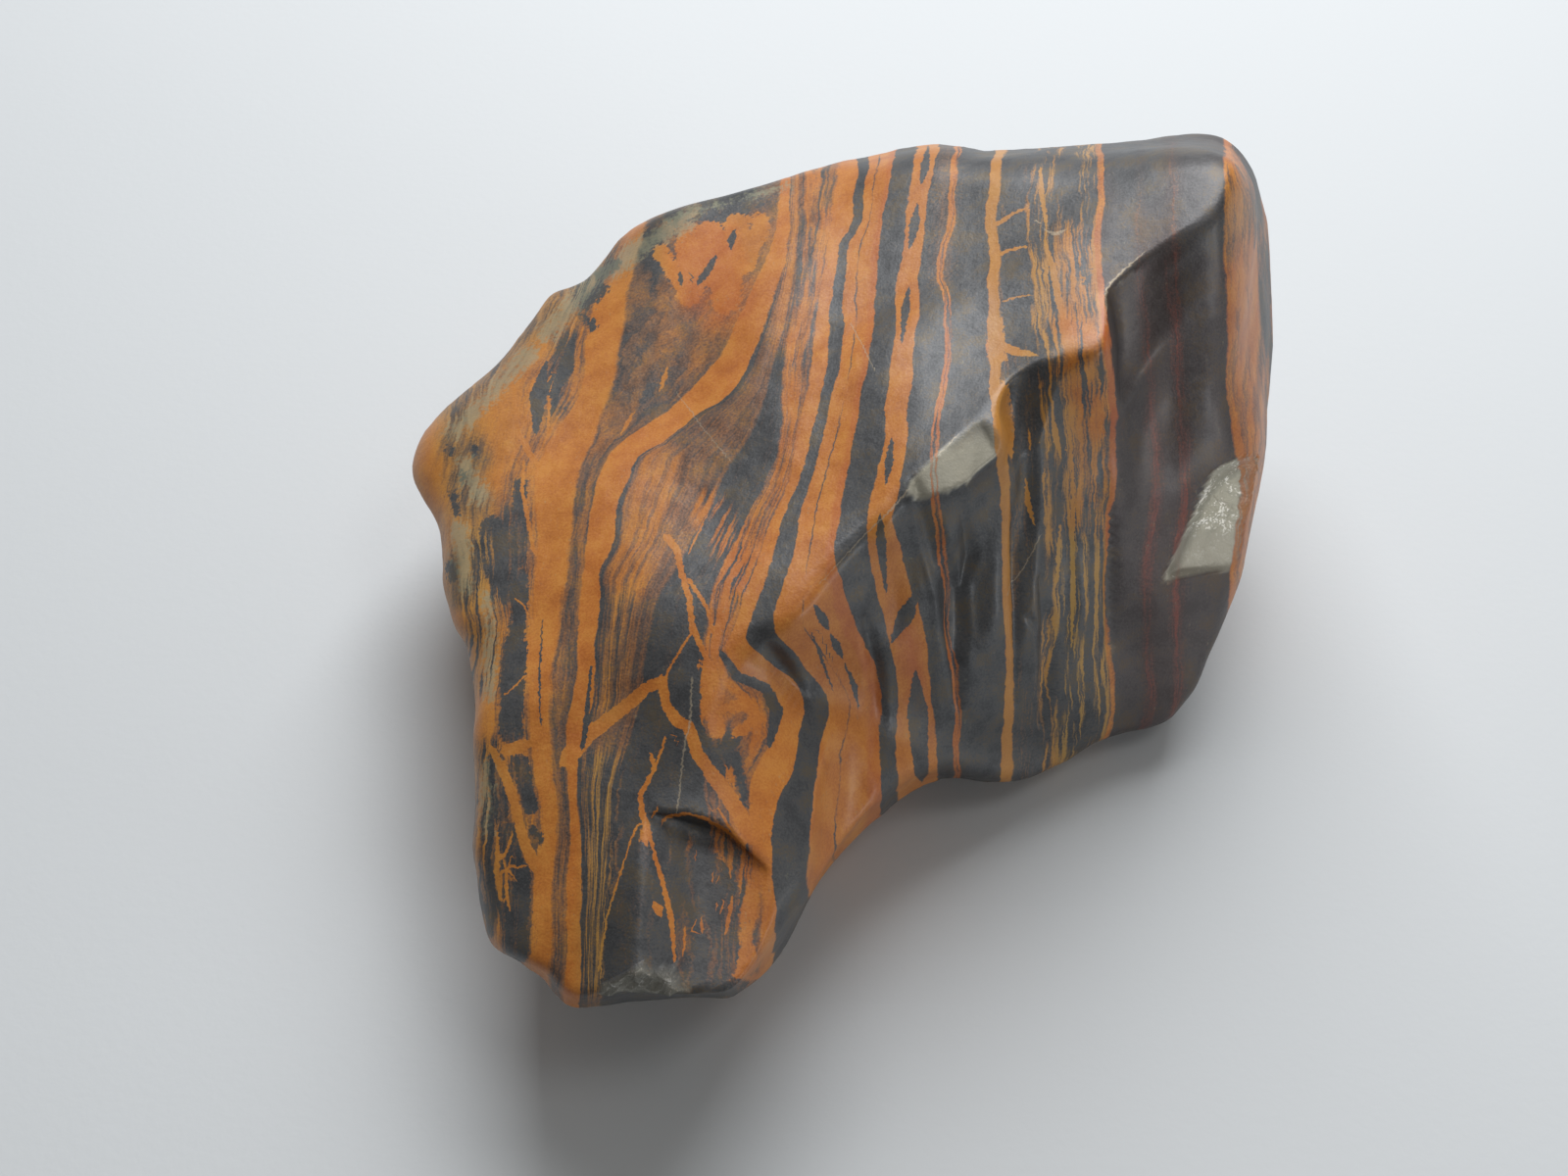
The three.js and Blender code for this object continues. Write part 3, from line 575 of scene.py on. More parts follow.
# Seams as (V, U), from left to right.
SEAMS = {
    "nose_edge": [
        (40, -16), (33, -20), (29, -21.5), (25, -23.5), (21, -26.3), (17, -27), (12, -28.5),
        (8, -29.5), (0, -29.2), (-5, -28.8), (-10, -29.3), (-15, -29.8), (-20, -30), (-25, -30.3),
        (-30, -30.5), (-36, -30), (-43, -29.5),
    ],
    "left_ochre": [
        (40, -14.5), (33, -17.8), (29, -19.3), (25, -20.2), (20, -20.8), (16, -23.3), (13, -25),
        (10, -25.4), (5, -25.3), (0, -25.5), (-5, -26), (-10, -26), (-15, -25.7), (-20, -25.1),
        (-25, -24.7), (-30, -25.3), (-35, -25.7), (-43, -26.2),
    ],
    "left_grey": [
        (40, -13.5), (33, -15.3), (30, -16), (25, -16.8), (20, -17.8), (15, -19.6), (10, -21.4),
        (5, -21.9), (0, -22.4), (-5, -23), (-10, -23.7), (-15, -23.8), (-20, -23.4), (-25, -23.2),
        (-30, -23.4), (-35, -23.7), (-43, -24.2),
    ],
    "curved_ochre": [
        (40, -0.3), (35, -1.3), (30, -3.2), (27, -4.8), (25, -5.8), (22, -7.8), (20, -9.8),
        (18, -12), (16, -14.8), (15, -16.4), (13.5, -17.8), (10, -19.3), (5, -20), (2, -20.5),
        (-5, -21.1), (-10, -21.4), (-15, -22.2), (-20, -22), (-25, -21.7), (-30, -21.9),
        (-43, -22.5),
    ],
    "curved_line": [
        (40, 0.6), (35, 0.3), (30, -1), (25, -2.7), (22, -3.8), (20, -5.2), (19, -6.5),
        (17.8, -8.8), (16.4, -10.3), (14.8, -12.4), (13.4, -14.7), (11, -15.9), (9, -16.7),
        (5, -17.5), (1, -18.9), (-0.2, -18.7), (-5, -19.3), (-13, -19.7), (-16, -20.8),
        (-20, -21.1), (-25, -20.7), (-30, -20.6), (-43, -21),
    ],
    "lens_left": [
        (40, 1.6), (35, 1.2), (30, 0.5), (25, -0.5), (20, -1.6), (16, -3.2), (13, -5.4), (9, -7.2),
        (6, -8.8), (4, -9.8), (2, -11), (0, -12.3), (-4, -13.4), (-8, -14.2), (-12, -14.8),
        (-16, -16), (-20, -17.2), (-25, -17.6), (-30, -18), (-35, -18.3), (-43, -18.8),
    ],
    "lens_right": [
        (40, 2.2), (35, 1.9), (30, 1.4), (25, 0.4), (20, -0.1), (15, -0.4), (12, -1.3), (8, -3.3),
        (4, -5.4), (0, -7.1), (-4, -7.8), (-10, -8.4), (-16, -8.6), (-25, -7.8), (-43, -6.5),
    ],
    "second_ochre": [
        (45, 6.2), (40, 5.2), (35, 4.6), (30, 3.8), (25, 3), (20, 2.5), (15, 1.4), (10, 0.2),
        (5, -2), (0, -3.6), (-4, -4.9), (-6.4, -5.9), (-7.2, -5.5), (-9, -4), (-10, -2.4),
        (-11.2, -1), (-13, -0.4), (-15, -1), (-17, -2.2), (-19, -3.2), (-22, -3.7), (-27, -3.3),
        (-30, -3.5), (-33, -4.2), (-36, -4.9), (-43, -4.6),
    ],
    "fold_dark": [
        (45, 7.5), (40, 7.2), (37, 6.7), (35, 5.8), (30, 5), (25, 4.5), (20, 3.8), (15, 2.6),
        (10, 1.2), (5, -0.7), (0, -2.2), (-4, -3.5), (-5.4, -3.7), (-6.5, -2.5), (-8, -0.9),
        (-9.5, 1.2), (-12, 2), (-14.5, 1.8), (-19, 0.8), (-22, -0.6), (-27, -1.3), (-30, -1.2),
        (-34, -0.9), (-43, -2),
    ],
    "wide_ochre": [
        (45, 8.8), (40, 8.2), (37, 7.7), (35, 6.8), (30, 6.2), (25, 5.9), (20, 5), (15, 3.8),
        (10, 2.5), (5, 1.2), (0, -0.2), (-3.8, -1), (-5, -0.6), (-6.5, 1), (-8, 2.2), (-10, 3.8),
        (-12, 4.7), (-14, 4.5), (-16, 3.8), (-20, 3.3), (-25, 2.6), (-35, 2.6), (-43, 3),
    ],
    "left_of_eyes": [
        (45, 11.5), (40, 10.5), (35, 9.8), (30, 9.3), (25, 8.9), (20, 8), (15, 7.2), (10, 6.2),
        (7, 5.8), (3.5, 5.1), (0, 6), (-4, 7.3), (-6, 8.5), (-9, 9.7), (-16, 9.9), (-25, 9.8),
        (-43, 9.8),
    ],
    "eyes": [
        (45, 13.5), (40, 12.7), (35, 12.1), (31.5, 11.5), (25, 11.2), (20, 10.6), (15, 10.2),
        (10, 8.9), (7, 8.4), (4, 8.4), (0, 9.3), (-4, 10.5), (-9, 11.5), (-16, 11.5), (-25, 11.7),
    ],
    "right_of_eyes": [
        (45, 15.8), (40, 14.6), (35, 14.1), (32, 13.7), (30, 13.9), (25, 13.3), (20, 12.8),
        (15, 12.5), (10, 11.7), (7, 11), (4, 12), (0, 13.1), (-4, 14.3), (-9, 14.9), (-16, 15.4),
        (-25, 15.6),
    ],
    "thin_red": [
        (45, 17.5), (40.5, 16.7), (38.5, 16.9), (35, 16.2), (32, 15.6), (30, 16.2), (25, 16.3),
        (20, 15.7), (15, 15.1), (10, 15), (5, 15.8), (0, 16.7), (-5, 16.8), (-10, 17.4),
        (-16, 17.2), (-25, 17.2),
    ],
    "gold_line": [
        (45, 21.5), (40, 20.8), (37, 20.5), (35, 20.9), (30, 21), (20, 21.1), (15, 21.6), (10, 22),
        (0, 22.4), (-10, 22.6), (-16, 22.2), (-25, 22.2),
    ],
    "gold_threads": [
        (45, 25.8), (40, 24.5), (35, 24.7), (30, 25), (25, 25.5), (15, 26.2), (5, 26.6), (-2, 27),
        (-5, 26.8), (-10, 26.4), (-16, 26), (-25, 25.8),
    ],
    "red_line": [
        (45, 31.8), (40, 31.9), (35, 31.7), (30, 32), (26, 32.4), (20, 33), (15, 33.4), (10, 33.2),
        (5, 32.9), (0, 32.8), (-10, 33), (-25, 33),
    ],
    "edge_ochre": [
        (45, 44.9), (40, 45), (30, 45.2), (20, 45.5), (15, 45.8), (8, 46.2), (4, 45.8), (0, 45.4),
        (-10, 45.2), (-25, 45),
    ],
    "edge_dark": [
        (45, 45.6), (42.5, 46.6), (40, 47.5), (30, 48.5), (20, 49), (15, 49.2), (8, 48.8),
        (4, 48.2), (0, 47.8), (-10, 47.2), (-25, 46.8),
    ],
}

# The bands from left to right: name; seam on its left as (seam, next seam, share of the way to
# it, millimetres beyond); softness of the seam; ochre share, thread strength and tone.
BANDS = [
    ("nose", None, 0.0, (0.86, 0.08, -0.2)),
    ("nose edge", ("nose_edge", None, 0, 0), 0.8, (0.64, 0.2, -0.12)),
    ("left ochre", ("left_ochre", None, 0, 0), 0.22, (0.95, 0.1, -0.05)),
    ("left grey", ("left_grey", None, 0, 0), 0.3, (0.42, 0.16, -0.15)),
    ("curved ochre", ("curved_ochre", None, 0, 0), 0.15, (1.0, 0.05, 0.05)),
    ("curved line", ("curved_line", None, 0, 0), 0.12, (0.14, 0.2, 0.0)),
    ("brown field", ("curved_line", None, 0, 0.5), 0.2, (0.37, 0.08, -0.1)),
    ("lens, dark side", ("lens_left", None, 0, 0), 0.25, (0.04, 0.14, 0.0)),
    ("lens, streaked side", ("lens_right", None, 0, 0), 0.3, (0.6, 0.26, 0.05)),
    ("second ochre", ("second_ochre", None, 0, 0), 0.12, (1.0, 0.06, 0.0)),
    ("fold dark", ("fold_dark", None, 0, 0), 0.1, (0.03, 0.05, 0.0)),
    ("wide ochre", ("wide_ochre", None, 0, 0), 0.1, (1.0, 0.06, 0.0)),
    ("wide ochre hairline", ("wide_ochre", "left_of_eyes", 0.36, 0), 0.1, (0.55, 0.5, 0.0)),
    ("wide ochre, right part", ("wide_ochre", "left_of_eyes", 0.36, 0.2), 0.1, (1.0, 0.08, 0.0)),
    ("wide ochre, red rim", ("wide_ochre", "left_of_eyes", 0.8, 0), 0.3, (0.97, 0.1, 0.3)),
    ("left of the eyes", ("left_of_eyes", None, 0, 0), 0.12, (0.03, 0.04, 0.0)),
    ("eyes", ("eyes", None, 0, 0), 0.12, (0.97, 0.12, -0.05)),
    ("right of the eyes", ("right_of_eyes", None, 0, 0), 0.12, (0.03, 0.04, 0.0)),
    ("thin red", ("thin_red", None, 0, 0), 0.1, (0.8, 0.4, 0.3)),
    ("thin red, core", ("thin_red", None, 0, 0.26), 0.1, (0.35, 0.4, 0.3)),
    ("thin red, right", ("thin_red", None, 0, 0.5), 0.1, (0.75, 0.4, 0.3)),
    ("middle dark", ("thin_red", None, 0, 0.72), 0.12, (0.03, 0.05, 0.0)),
    ("gold line", ("gold_line", None, 0, 0), 0.12, (0.97, 0.1, -0.45)),
    ("blocks", ("gold_line", None, 0, 1.1), 0.2, (0.08, 0.22, -0.4)),
    ("gold threads", ("gold_threads", None, 0, 0), 0.4, (0.5, 0.5, -0.3)),
    ("red line", ("red_line", None, 0, 0), 0.12, (0.92, 0.12, 0.3)),
    ("broad dark", ("red_line", None, 0, 0.65), 0.15, (0.05, 0.06, 0.6)),
    ("faint red", ("red_line", "edge_ochre", 0.3, 0), 0.6, (0.27, 0.12, 1.0)),
    ("broad dark, middle", ("red_line", "edge_ochre", 0.4, 0), 0.6, (0.05, 0.06, 0.8)),
    ("second faint red", ("red_line", "edge_ochre", 0.54, 0), 0.6, (0.3, 0.12, 1.0)),
    ("broad dark, right", ("red_line", "edge_ochre", 0.65, 0), 0.7, (0.05, 0.08, 0.6)),
    ("edge ochre", ("edge_ochre", None, 0, 0), 0.25, (0.82, 0.3, 0.1)),
    ("edge dark", ("edge_dark", None, 0, 0), 0.3, (0.3, 0.3, 0.1)),
]

# Two sets of ochre veins, one of dark eyes and grooves, and one of pale quartz hairlines and
# painted highlights along the crest: the ochre share that the vein has, or none where it is pale.
VEIN_SETS = {"vein_1": 1.0, "vein_2": 1.0, "vein_3": 0.04, "vein_4": None}

# Veins of each set: middle line as places (U, V), half widths along it. A vein and its branch are
# in different sets.
VEINS = {
    "vein_1": [
        # root of the knot
        ([(-12, 5.2), (-11, 4), (-10.3, 1), (-9.7, -1), (-9.4, -4), (-8.4, -6.2), (-7.6, -7.8)],
         [0.4, 0.36, 0.32, 0.3, 0.32, 0.3, 0.2]),
        # broad slanting vein, then its way down to the right
        ([(-22.2, -17.5), (-20, -15), (-18, -13.5), (-15.5, -11.5), (-14, -10.2), (-12.4, -9.4)],
         [0.9, 0.8, 0.7, 0.65, 0.6, 0.5]),
        ([(-12.4, -9.4), (-12, -12), (-11, -13.5), (-9.7, -14.2), (-8.8, -17), (-7, -19.5),
          (-5.5, -21.5), (-4, -24), (-3, -25.8)],
         [0.5, 0.5, 0.6, 0.6, 0.65, 0.75, 0.8, 0.8, 0.6]),
        # slanting vein at the lower left
        ([(-29.9, -16.2), (-28.9, -18), (-28.1, -20), (-27.3, -22.3), (-26.9, -24.6),
          (-26.1, -26.8), (-25, -28.6), (-24.4, -30)],
         [0.3, 0.5, 0.5, 0.45, 0.5, 0.6, 0.7, 0.4]),
        # fork and twig of the pit's vein
        ([(-12.1, -15.2), (-12.6, -16.8), (-13.2, -18.3)], [0.12, 0.14, 0.1]),
        ([(-12.8, -22.2), (-13.3, -23.2), (-13.9, -24)], [0.08, 0.1, 0.1]),
        # long thin vein left of the pit
        ([(-14.6, -23.8), (-15.4, -25), (-16.4, -28.2), (-17.3, -30.9), (-18, -33.2),
          (-18.9, -39)],
         [0.12, 0.1, 0.1, 0.1, 0.1, 0.12]),
        # arch over the pit
        ([(-13, -24.2), (-12, -23.4), (-10, -23.1), (-8, -23.6), (-6, -24.6), (-4.3, -26)],
         [0.14, 0.16, 0.15, 0.16, 0.14, 0.12]),
        # veins of the nose
        ([(-27.6, 20.8), (-27.2, 16), (-25.5, 13), (-24.3, 11.8), (-23.3, 9.5)],
         [0.15, 0.26, 0.28, 0.26, 0.12]),
        # flecks in the grey field
        ([(-16.7, 15.6), (-16, 16.8), (-15.2, 18)], [0.04, 0.2, 0.04]),
        ([(-12.7, 20), (-12.2, 21.3), (-11.9, 22.6)], [0.04, 0.26, 0.04]),
        # right post of the ladder
        ([(26.2, 42.8), (26.3, 40), (26.8, 37)], [0.14, 0.26, 0.16]),
        ([(26.6, 35.3), (27.4, 32.8), (28.1, 29.2), (28.8, 26.8)], [0.16, 0.36, 0.34, 0.2]),
        # flecks among the front threads
        ([(24.7, 11.2), (24.9, 8.8), (25.6, 6.4)], [0.08, 0.3, 0.08]),
        ([(25, 16.4), (25.1, 15.2), (25.2, 14)], [0.05, 0.15, 0.05]),
        ([(27.3, 18), (27.7, 15.6), (28.2, 13.2)], [0.08, 0.34, 0.08]),
        # line down the front threads
        ([(29.3, 14.5), (29.5, 8), (29.4, 0), (29.3, -6)], [0.08, 0.2, 0.22, 0.08]),
        # right of the pit
        ([(-5.2, -31.2), (-5.5, -33), (-6, -35.3)], [0.12, 0.22, 0.16]),
        ([(-5.3, -27.4), (-5.5, -28.6), (-5.4, -29.8)], [0.06, 0.14, 0.06]),
        # streak and specks in the pit
        ([(-10.1, -34), (-10.1, -35.8), (-10.3, -37.6)], [0.05, 0.16, 0.06]),
        ([(-8.9, -26.6), (-9, -27.2), (-9, -27.9)], [0.04, 0.14, 0.04]),
        ([(-7.2, -28.8), (-7.3, -29.6), (-7.2, -30.4)], [0.04, 0.16, 0.04]),
        ([(-8.3, -33.4), (-8.4, -34.2), (-8.3, -35.2)], [0.04, 0.18, 0.04]),
        ([(-6.9, -31.8), (-6.8, -32.4), (-6.9, -33)], [0.04, 0.1, 0.04]),
        ([(-13.2, -32.2), (-12.8, -32.7), (-12.6, -33.3)], [0.15, 0.5, 0.25]),
    ],
    "vein_2": [
        # branches of the knot
        ([(-9.7, 0.8), (-8.8, -0.5), (-7.8, -2.2), (-7.2, -4.5), (-6.7, -6.8)],
         [0.22, 0.22, 0.2, 0.2, 0.15]),
        ([(-9.4, -4.5), (-10.5, -6.2), (-11.6, -8), (-12.4, -9.8)], [0.12, 0.13, 0.11, 0.1]),
        # hair above the knot
        ([(-9.8, 3.4), (-8.8, 5.5), (-7.8, 7.5)], [0.07, 0.09, 0.06]),
        # blob on the slanting vein at the lower left
        ([(-28.3, -16.6), (-27, -16.2), (-25.2, -15.6)], [0.6, 0.7, 0.15]),
        # fine net on the left
        ([(-27.4, -1), (-26.4, -2), (-26, -3.6)], [0.08, 0.1, 0.06]),
        ([(-28.6, -11), (-27.3, -9.9), (-26.2, -8.8)], [0.06, 0.1, 0.06]),
        ([(-28.9, -28), (-28.1, -26.4), (-27.6, -24.8)], [0.1, 0.13, 0.1]),
        ([(-28.1, -28.2), (-27, -28.5), (-26, -28.2)], [0.1, 0.14, 0.1]),
        ([(-28.3, -28.8), (-28.3, -31), (-27.9, -33)], [0.15, 0.25, 0.1]),
        ([(-29.2, -25), (-29.3, -29), (-28.9, -32)], [0.12, 0.3, 0.12]),
        # thin vein down to the pit, and on through it
        ([(-13.6, -17), (-13.2, -18.4), (-14.7, -21.1), (-14.5, -23.2), (-13.8, -24.7)],
         [0.2, 0.22, 0.26, 0.3, 0.36]),
        ([(-13.8, -24.7), (-12.9, -28.2), (-12, -31.4), (-11.4, -34.2), (-11.1, -38.6)],
         [0.36, 0.26, 0.27, 0.3, 0.12]),
        # veins of the nose
        ([(-23.7, 22), (-23.9, 19), (-24, 15.5)], [0.08, 0.16, 0.12]),
        ([(-26.5, 13), (-26.7, 10), (-26.2, 7), (-25.7, 4), (-24.5, 2.5)],
         [0.12, 0.2, 0.22, 0.2, 0.12]),
        # rungs of the ladder
        ([(20.8, 36.9), (22.2, 37.4), (23.5, 38.3), (24.9, 38.9)], [0.2, 0.19, 0.16, 0.1]),
        ([(21.2, 33.6), (23, 34.5), (25, 34.9)], [0.18, 0.16, 0.1]),
        ([(22.2, 29.3), (24, 29.8), (25.7, 30)], [0.12, 0.09, 0.07]),
        ([(21.8, 25), (23.5, 24.2), (25.8, 23.8)], [0.5, 0.4, 0.2]),
        # flecks among the front threads
        ([(28.2, 6.5), (28, 3), (27.7, 0)], [0.06, 0.24, 0.06]),
    ],
    "vein_3": [
        # eyes, from the top down
        ([(14.7, 45), (14.4, 43), (14, 41.3)], [0.1, 0.5, 0.1]),
        ([(13.6, 39.2), (13.3, 37), (12.8, 34.6)], [0.1, 0.55, 0.12]),
        ([(12.7, 30.6), (12.4, 28.4), (12, 25)], [0.12, 0.45, 0.1]),
        ([(11, 15.2), (10.7, 13), (10.4, 10.6)], [0.12, 0.45, 0.15]),
        ([(9.8, 7.4), (9.9, 4.6), (10.4, -0.4)], [0.2, 0.55, 0.1]),
        ([(13.4, -0.6), (12.4, -2.8), (11, -5.4)], [0.3, 0.9, 0.2]),
        ([(13.4, -8.6), (13.6, -12.5), (14, -19)], [0.2, 1.1, 0.7]),
        # groove round the fold
        ([(-6.4, -6.6), (-4.8, -9), (-1.8, -10.2), (-0.7, -12.6), (-1.5, -16)],
         [0.25, 0.5, 0.55, 0.7, 0.3]),
        # specks of the wide ochre
        ([(3.2, -1.8), (4, -3.2), (4.5, -4.2)], [0.2, 0.55, 0.15]),
        ([(4.8, -4.8), (5.4, -6), (6, -7.2)], [0.15, 0.45, 0.12]),
        ([(6.2, -7.8), (7.2, -10.2), (7.6, -12.4)], [0.1, 0.3, 0.08]),
        ([(2.8, -4.6), (3.8, -7.2), (5, -10.5)], [0.08, 0.18, 0.06]),
        # marks in the triangle
        ([(-10.6, 32.2), (-10.5, 31.5), (-10.5, 30.9)], [0.1, 0.3, 0.1]),
        ([(-5, 36.4), (-5.4, 35.4), (-5.4, 34.6)], [0.2, 0.4, 0.1]),
        ([(-7, 33.8), (-7.8, 32.4), (-8.7, 31.2)], [0.2, 0.4, 0.3]),
        # streaks on the nose
        ([(-21.6, 25.5), (-22.2, 22.5), (-23.6, 19.6)], [0.2, 0.8, 0.3]),
        ([(-24.3, 23), (-25, 19.5), (-25.3, 16)], [0.2, 0.9, 0.3]),
        # hairline on the left
        ([(-24.7, -3), (-24.9, -9), (-24.8, -14)], [0.04, 0.12, 0.05]),
        # end of the curved line
        ([(-19.6, -8), (-20.2, -14), (-20.6, -16.4)], [0.1, 0.3, 0.2]),
    ],
    "vein_4": [
        # open crack by the ladder
        ([(25.5, 37.6), (26.3, 37.2)], [0.1, 0.08]),
        ([(26.4, 36.8), (27.4, 36.1), (28.4, 36.3), (29.3, 37)], [0.04, 0.16, 0.14, 0.04]),
        # painted highlight along the crest
        ([(32.9, 26.8), (32.85, 28.8), (32.95, 30.6), (34, 31.8), (35.2, 32.9), (37, 34.5)],
         [0.02, 0.09, 0.11, 0.12, 0.08, 0.02]),
        # hairline below the knot
        ([(-9.4, -9), (-9.6, -14), (-10, -15.2), (-10.4, -18), (-11, -23)],
         [0.07, 0.08, 0.09, 0.08, 0.07]),
        # crack in the front
        ([(26.3, 5.5), (24, 1), (22.8, -0.8)], [0.05, 0.06, 0.04]),
        # cracks across the top
        ([(6.8, 27), (8, 24.8), (9.3, 22.2)], [0.04, 0.05, 0.04]),
        ([(-11, 20), (-8, 16), (-5.5, 13)], [0.03, 0.04, 0.03]),
        # painted highlight along the crest
        ([(3.6, 0.4), (8, 5.2), (11.2, 8.3), (15.4, 13.2), (18, 15.9)],
         [0.02, 0.05, 0.09, 0.06, 0.03]),
    ],
}

# Soft patches: from, to, half width, and what they add to ochre, threads and tone.
DRIFTS = [
    # grey field
    ((-14, 33), (-15, 20), 2, (-0.12, 0, -0.1)),
    # triangle
    ((-8.5, 35), (-7, 30), 3.5, (0.1, 0, 0.42)),
    # spots on the nose
    ((-33.2, 11), (-32.2, 8), 0.9, (-0.35, 0, -0.2)),
    ((-31.4, 14.5), (-30.8, 13), 0.9, (-0.35, 0, -0.2)),
    ((-34.3, 15.2), (-33.6, 14), 0.8, (-0.35, 0, -0.2)),
    ((-33.8, 2.8), (-33.5, -1.4), 0.7, (-0.4, 0, -0.2)),
    ((-30.2, 9), (-30.6, 4), 0.7, (-0.3, 0.1, -0.2)),
    # dark by the left ochre
    ((-22.3, 25), (-23.2, 18.5), 0.9, (-0.65, 0.2, 0)),
    ((-27.2, 7), (-27.7, 0), 1.2, (-0.6, 0.25, 0)),
    # olive brown by the second ochre
    ((3, 42), (1.8, 23), 1.3, (-0.22, 0.05, -0.1)),
    # brown above the lens
    ((1.6, 42), (0.4, 25), 1.2, (0.45, 0, 0)),
    # dark below the vein
    ((-8, -17), (-7.5, -26), 1.6, (-0.45, 0, 0)),
    # dark among the front threads
    ((27.4, 20), (27.9, -18), 2, (-0.3, 0.12, -0.35)),
    # olive front threads
    ((30.8, 3), (31, -18), 2.7, (-0.3, 0.12, -0.6)),
    # mottled left rim
    ((-22, 31), (-34, 19), 1.9, (-0.36, 0.15, -0.4)),
    # olive by the left ochre
    ((-18.4, -18), (-19.2, -40), 1.6, (0, 0.4, -0.7)),
    # nose mottling
    ((-33, 16), (-32, 0), 2.2, (-0.12, 0.1, -0.3)),
    # threads under the nose
    ((-30.6, 4), (-30.6, -9), 1.8, (-0.3, 0.55, -0.25)),
    # streaky lower left
    ((-27.8, -16), (-27.4, -36), 1.5, (-0.22, 0.3, -0.1)),
    # dark strip on the left
    ((-30.4, -17), (-30.2, -34), 1.2, (-0.4, 0.5, -0.3)),
    # grey below the disc
    ((-5.5, -16.5), (-5.5, -16.8), 1.4, (-0.2, 0.2, 0)),
    # warm brown fan
    ((-12.6, 12.4), (-16, 1), 2.2, (0.28, 0.12, 0)),
    # lower end of the brown fan
    ((-17, -2), (-18, -12), 1.4, (0.12, 0.2, -0.2)),
    # threads by the knot
    ((-7.5, 8), (-4, 1), 1.6, (0.2, 0.5, 0.1)),
    # brown above the fold
    ((-5.5, 0), (-7, -5.5), 0.9, (0.35, 0.4, 0.1)),
    # upper rim mottling
    ((-20, 31.5), (-4, 40.5), 1.8, (-0.2, 0.15, -0.2)),
    # fringe of the pit
    ((-3.1, -27.5), (-3.9, -40), 0.9, (-0.35, 0.8, 0.1)),
    # threads in the pit
    ((-8.2, -28), (-8.4, -38), 3.2, (0.12, 0.3, 0.1)),
    # warm top of the ladder
    ((28.5, 27), (32, 25.5), 1.2, (0.35, 0.1, 0.3)),
    # front brown
    ((29.5, 22), (32.5, 17), 1.6, (0.15, 0.3, 0.4)),
    # faint red below the eyes
    ((12.5, -4), (14, -12), 0.8, (0.1, 0.2, 0.5)),
    # grey top beside the red line
    ((37, 45), (43.5, 38.5), 4.5, (-0.16, 0, -0.4)),
    ((36, 44), (34.6, 34.5), 2.5, (-0.1, 0, -0.4)),
    # upper end of the thin line
    ((16.9, 46), (16, 31.5), 1.3, (0.25, 0, -0.35)),
    # dark top of the ladder
    ((27.6, 46), (27.6, 39.4), 2.6, (-0.35, 0, -0.3)),
    ((30.9, 46), (30.9, 39.4), 1.5, (-0.25, 0, -0.4)),
    # olive beside the ladder
    ((26, 36), (26.4, 24), 1.4, (-0.24, 0.1, -0.4)),
]

# Patches with a ragged outline: from, to, half width.
STAINS = {
    "ochre": [
        # triangle
        ((-12.6, 34.2), (-9.6, 29.8), 0.9),
        ((-9.8, 34.8), (-9.2, 31), 1.3),
        ((-7.4, 36), (-7.6, 32.2), 1.6),
        ((-4.8, 37), (-6, 29.6), 1.4),
        ((-2.4, 37.4), (-4, 32.8), 0.9),
        # rim of the disc
        ((-5.5, -12.2), (-3.2, -11.8), 0.6),
        ((-3.2, -11.8), (-2.8, -13.5), 0.6),
        ((-2.8, -13.5), (-4.8, -14.8), 0.7),
        # ring left of the disc
        ((-7.8, -8), (-7.8, -11.5), 0.8),
        ((-7.8, -11.5), (-6.7, -14.5), 0.8),
        # below the disc
        ((-6, -19), (-5.9, -19.2), 1),
        # blob on the pit vein
        ((-14, -24.4), (-14.1, -25.6), 0.45),
        # blob on the gold line
        ((21.6, 27), (21.8, 23.6), 0.8),
        # gold line, wider below the edge
        ((22.2, 20), (22.6, 14), 0.8),
    ],
    "dark": [
        # wedge below the disc
        ((-5, -17.2), (-3.8, -22), 0.5),
        # dark inside the ring
        ((-8.8, -14.8), (-6.5, -19), 0.8),
        ((-9.2, -9), (-9.4, -13.5), 0.6),
        # floor of the pit
        ((-8.8, -31), (-8.8, -37), 4.2),
        # tip of the foot
        ((-18, -40.6), (-3, -41), 0.9),
        # spots on the nose
        ((-33.8, 9.6), (-33.4, 7.8), 0.35),
        ((-34.2, 14.3), (-33.9, 13.8), 0.3),
        ((-31.6, 14.3), (-31.3, 13.5), 0.35),
        ((-32.8, 11.6), (-32.6, 11.2), 0.25),
        # patches on the upper left rim
        ((-11.8, 38), (-10.8, 38.2), 0.45),
        ((-18.7, 31.9), (-17.2, 33.1), 0.5),
        ((-20.3, 28.9), (-18.5, 30.6), 0.6),
        ((-20.7, 27.9), (-19.4, 26.6), 0.4),
        # left dark band
        ((-26.9, 10.5), (-27.3, 3), 0.7),
        ((-29.8, 6.2), (-29.2, 1.5), 1.2),
        # spot under the nose
        ((-33.9, 2.2), (-33.7, 1), 0.45),
        # left dark band
        ((-26.9, 1), (-27.5, -6), 0.8),
        ((-27.5, -6), (-27.9, -14.5), 1.2),
        ((-29.4, -17.5), (-28.9, -23), 0.8),
        # dark between the veins
        ((-26.8, -17.8), (-25.8, -22.3), 0.75),
        ((-25.5, -24.7), (-25, -25.6), 0.5),
        # lower left dark
        ((-28.1, -24.8), (-27.3, -28.5), 0.9),
        ((-26.6, -29), (-26.6, -33), 0.8),
        ((-27.4, -31), (-27.1, -37), 1.2),
        # blocks of the ladder
        ((23.3, 43.5), (23.3, 39.5), 0.9),
        ((23.5, 37.2), (23.5, 35.5), 0.9),
        ((23.3, 32.8), (23.4, 30.8), 0.95),
        ((23.7, 28.8), (23.8, 26), 0.9),
        # fleck by the ladder
        ((30.8, 33), (30.9, 31.2), 0.4),
    ],
}
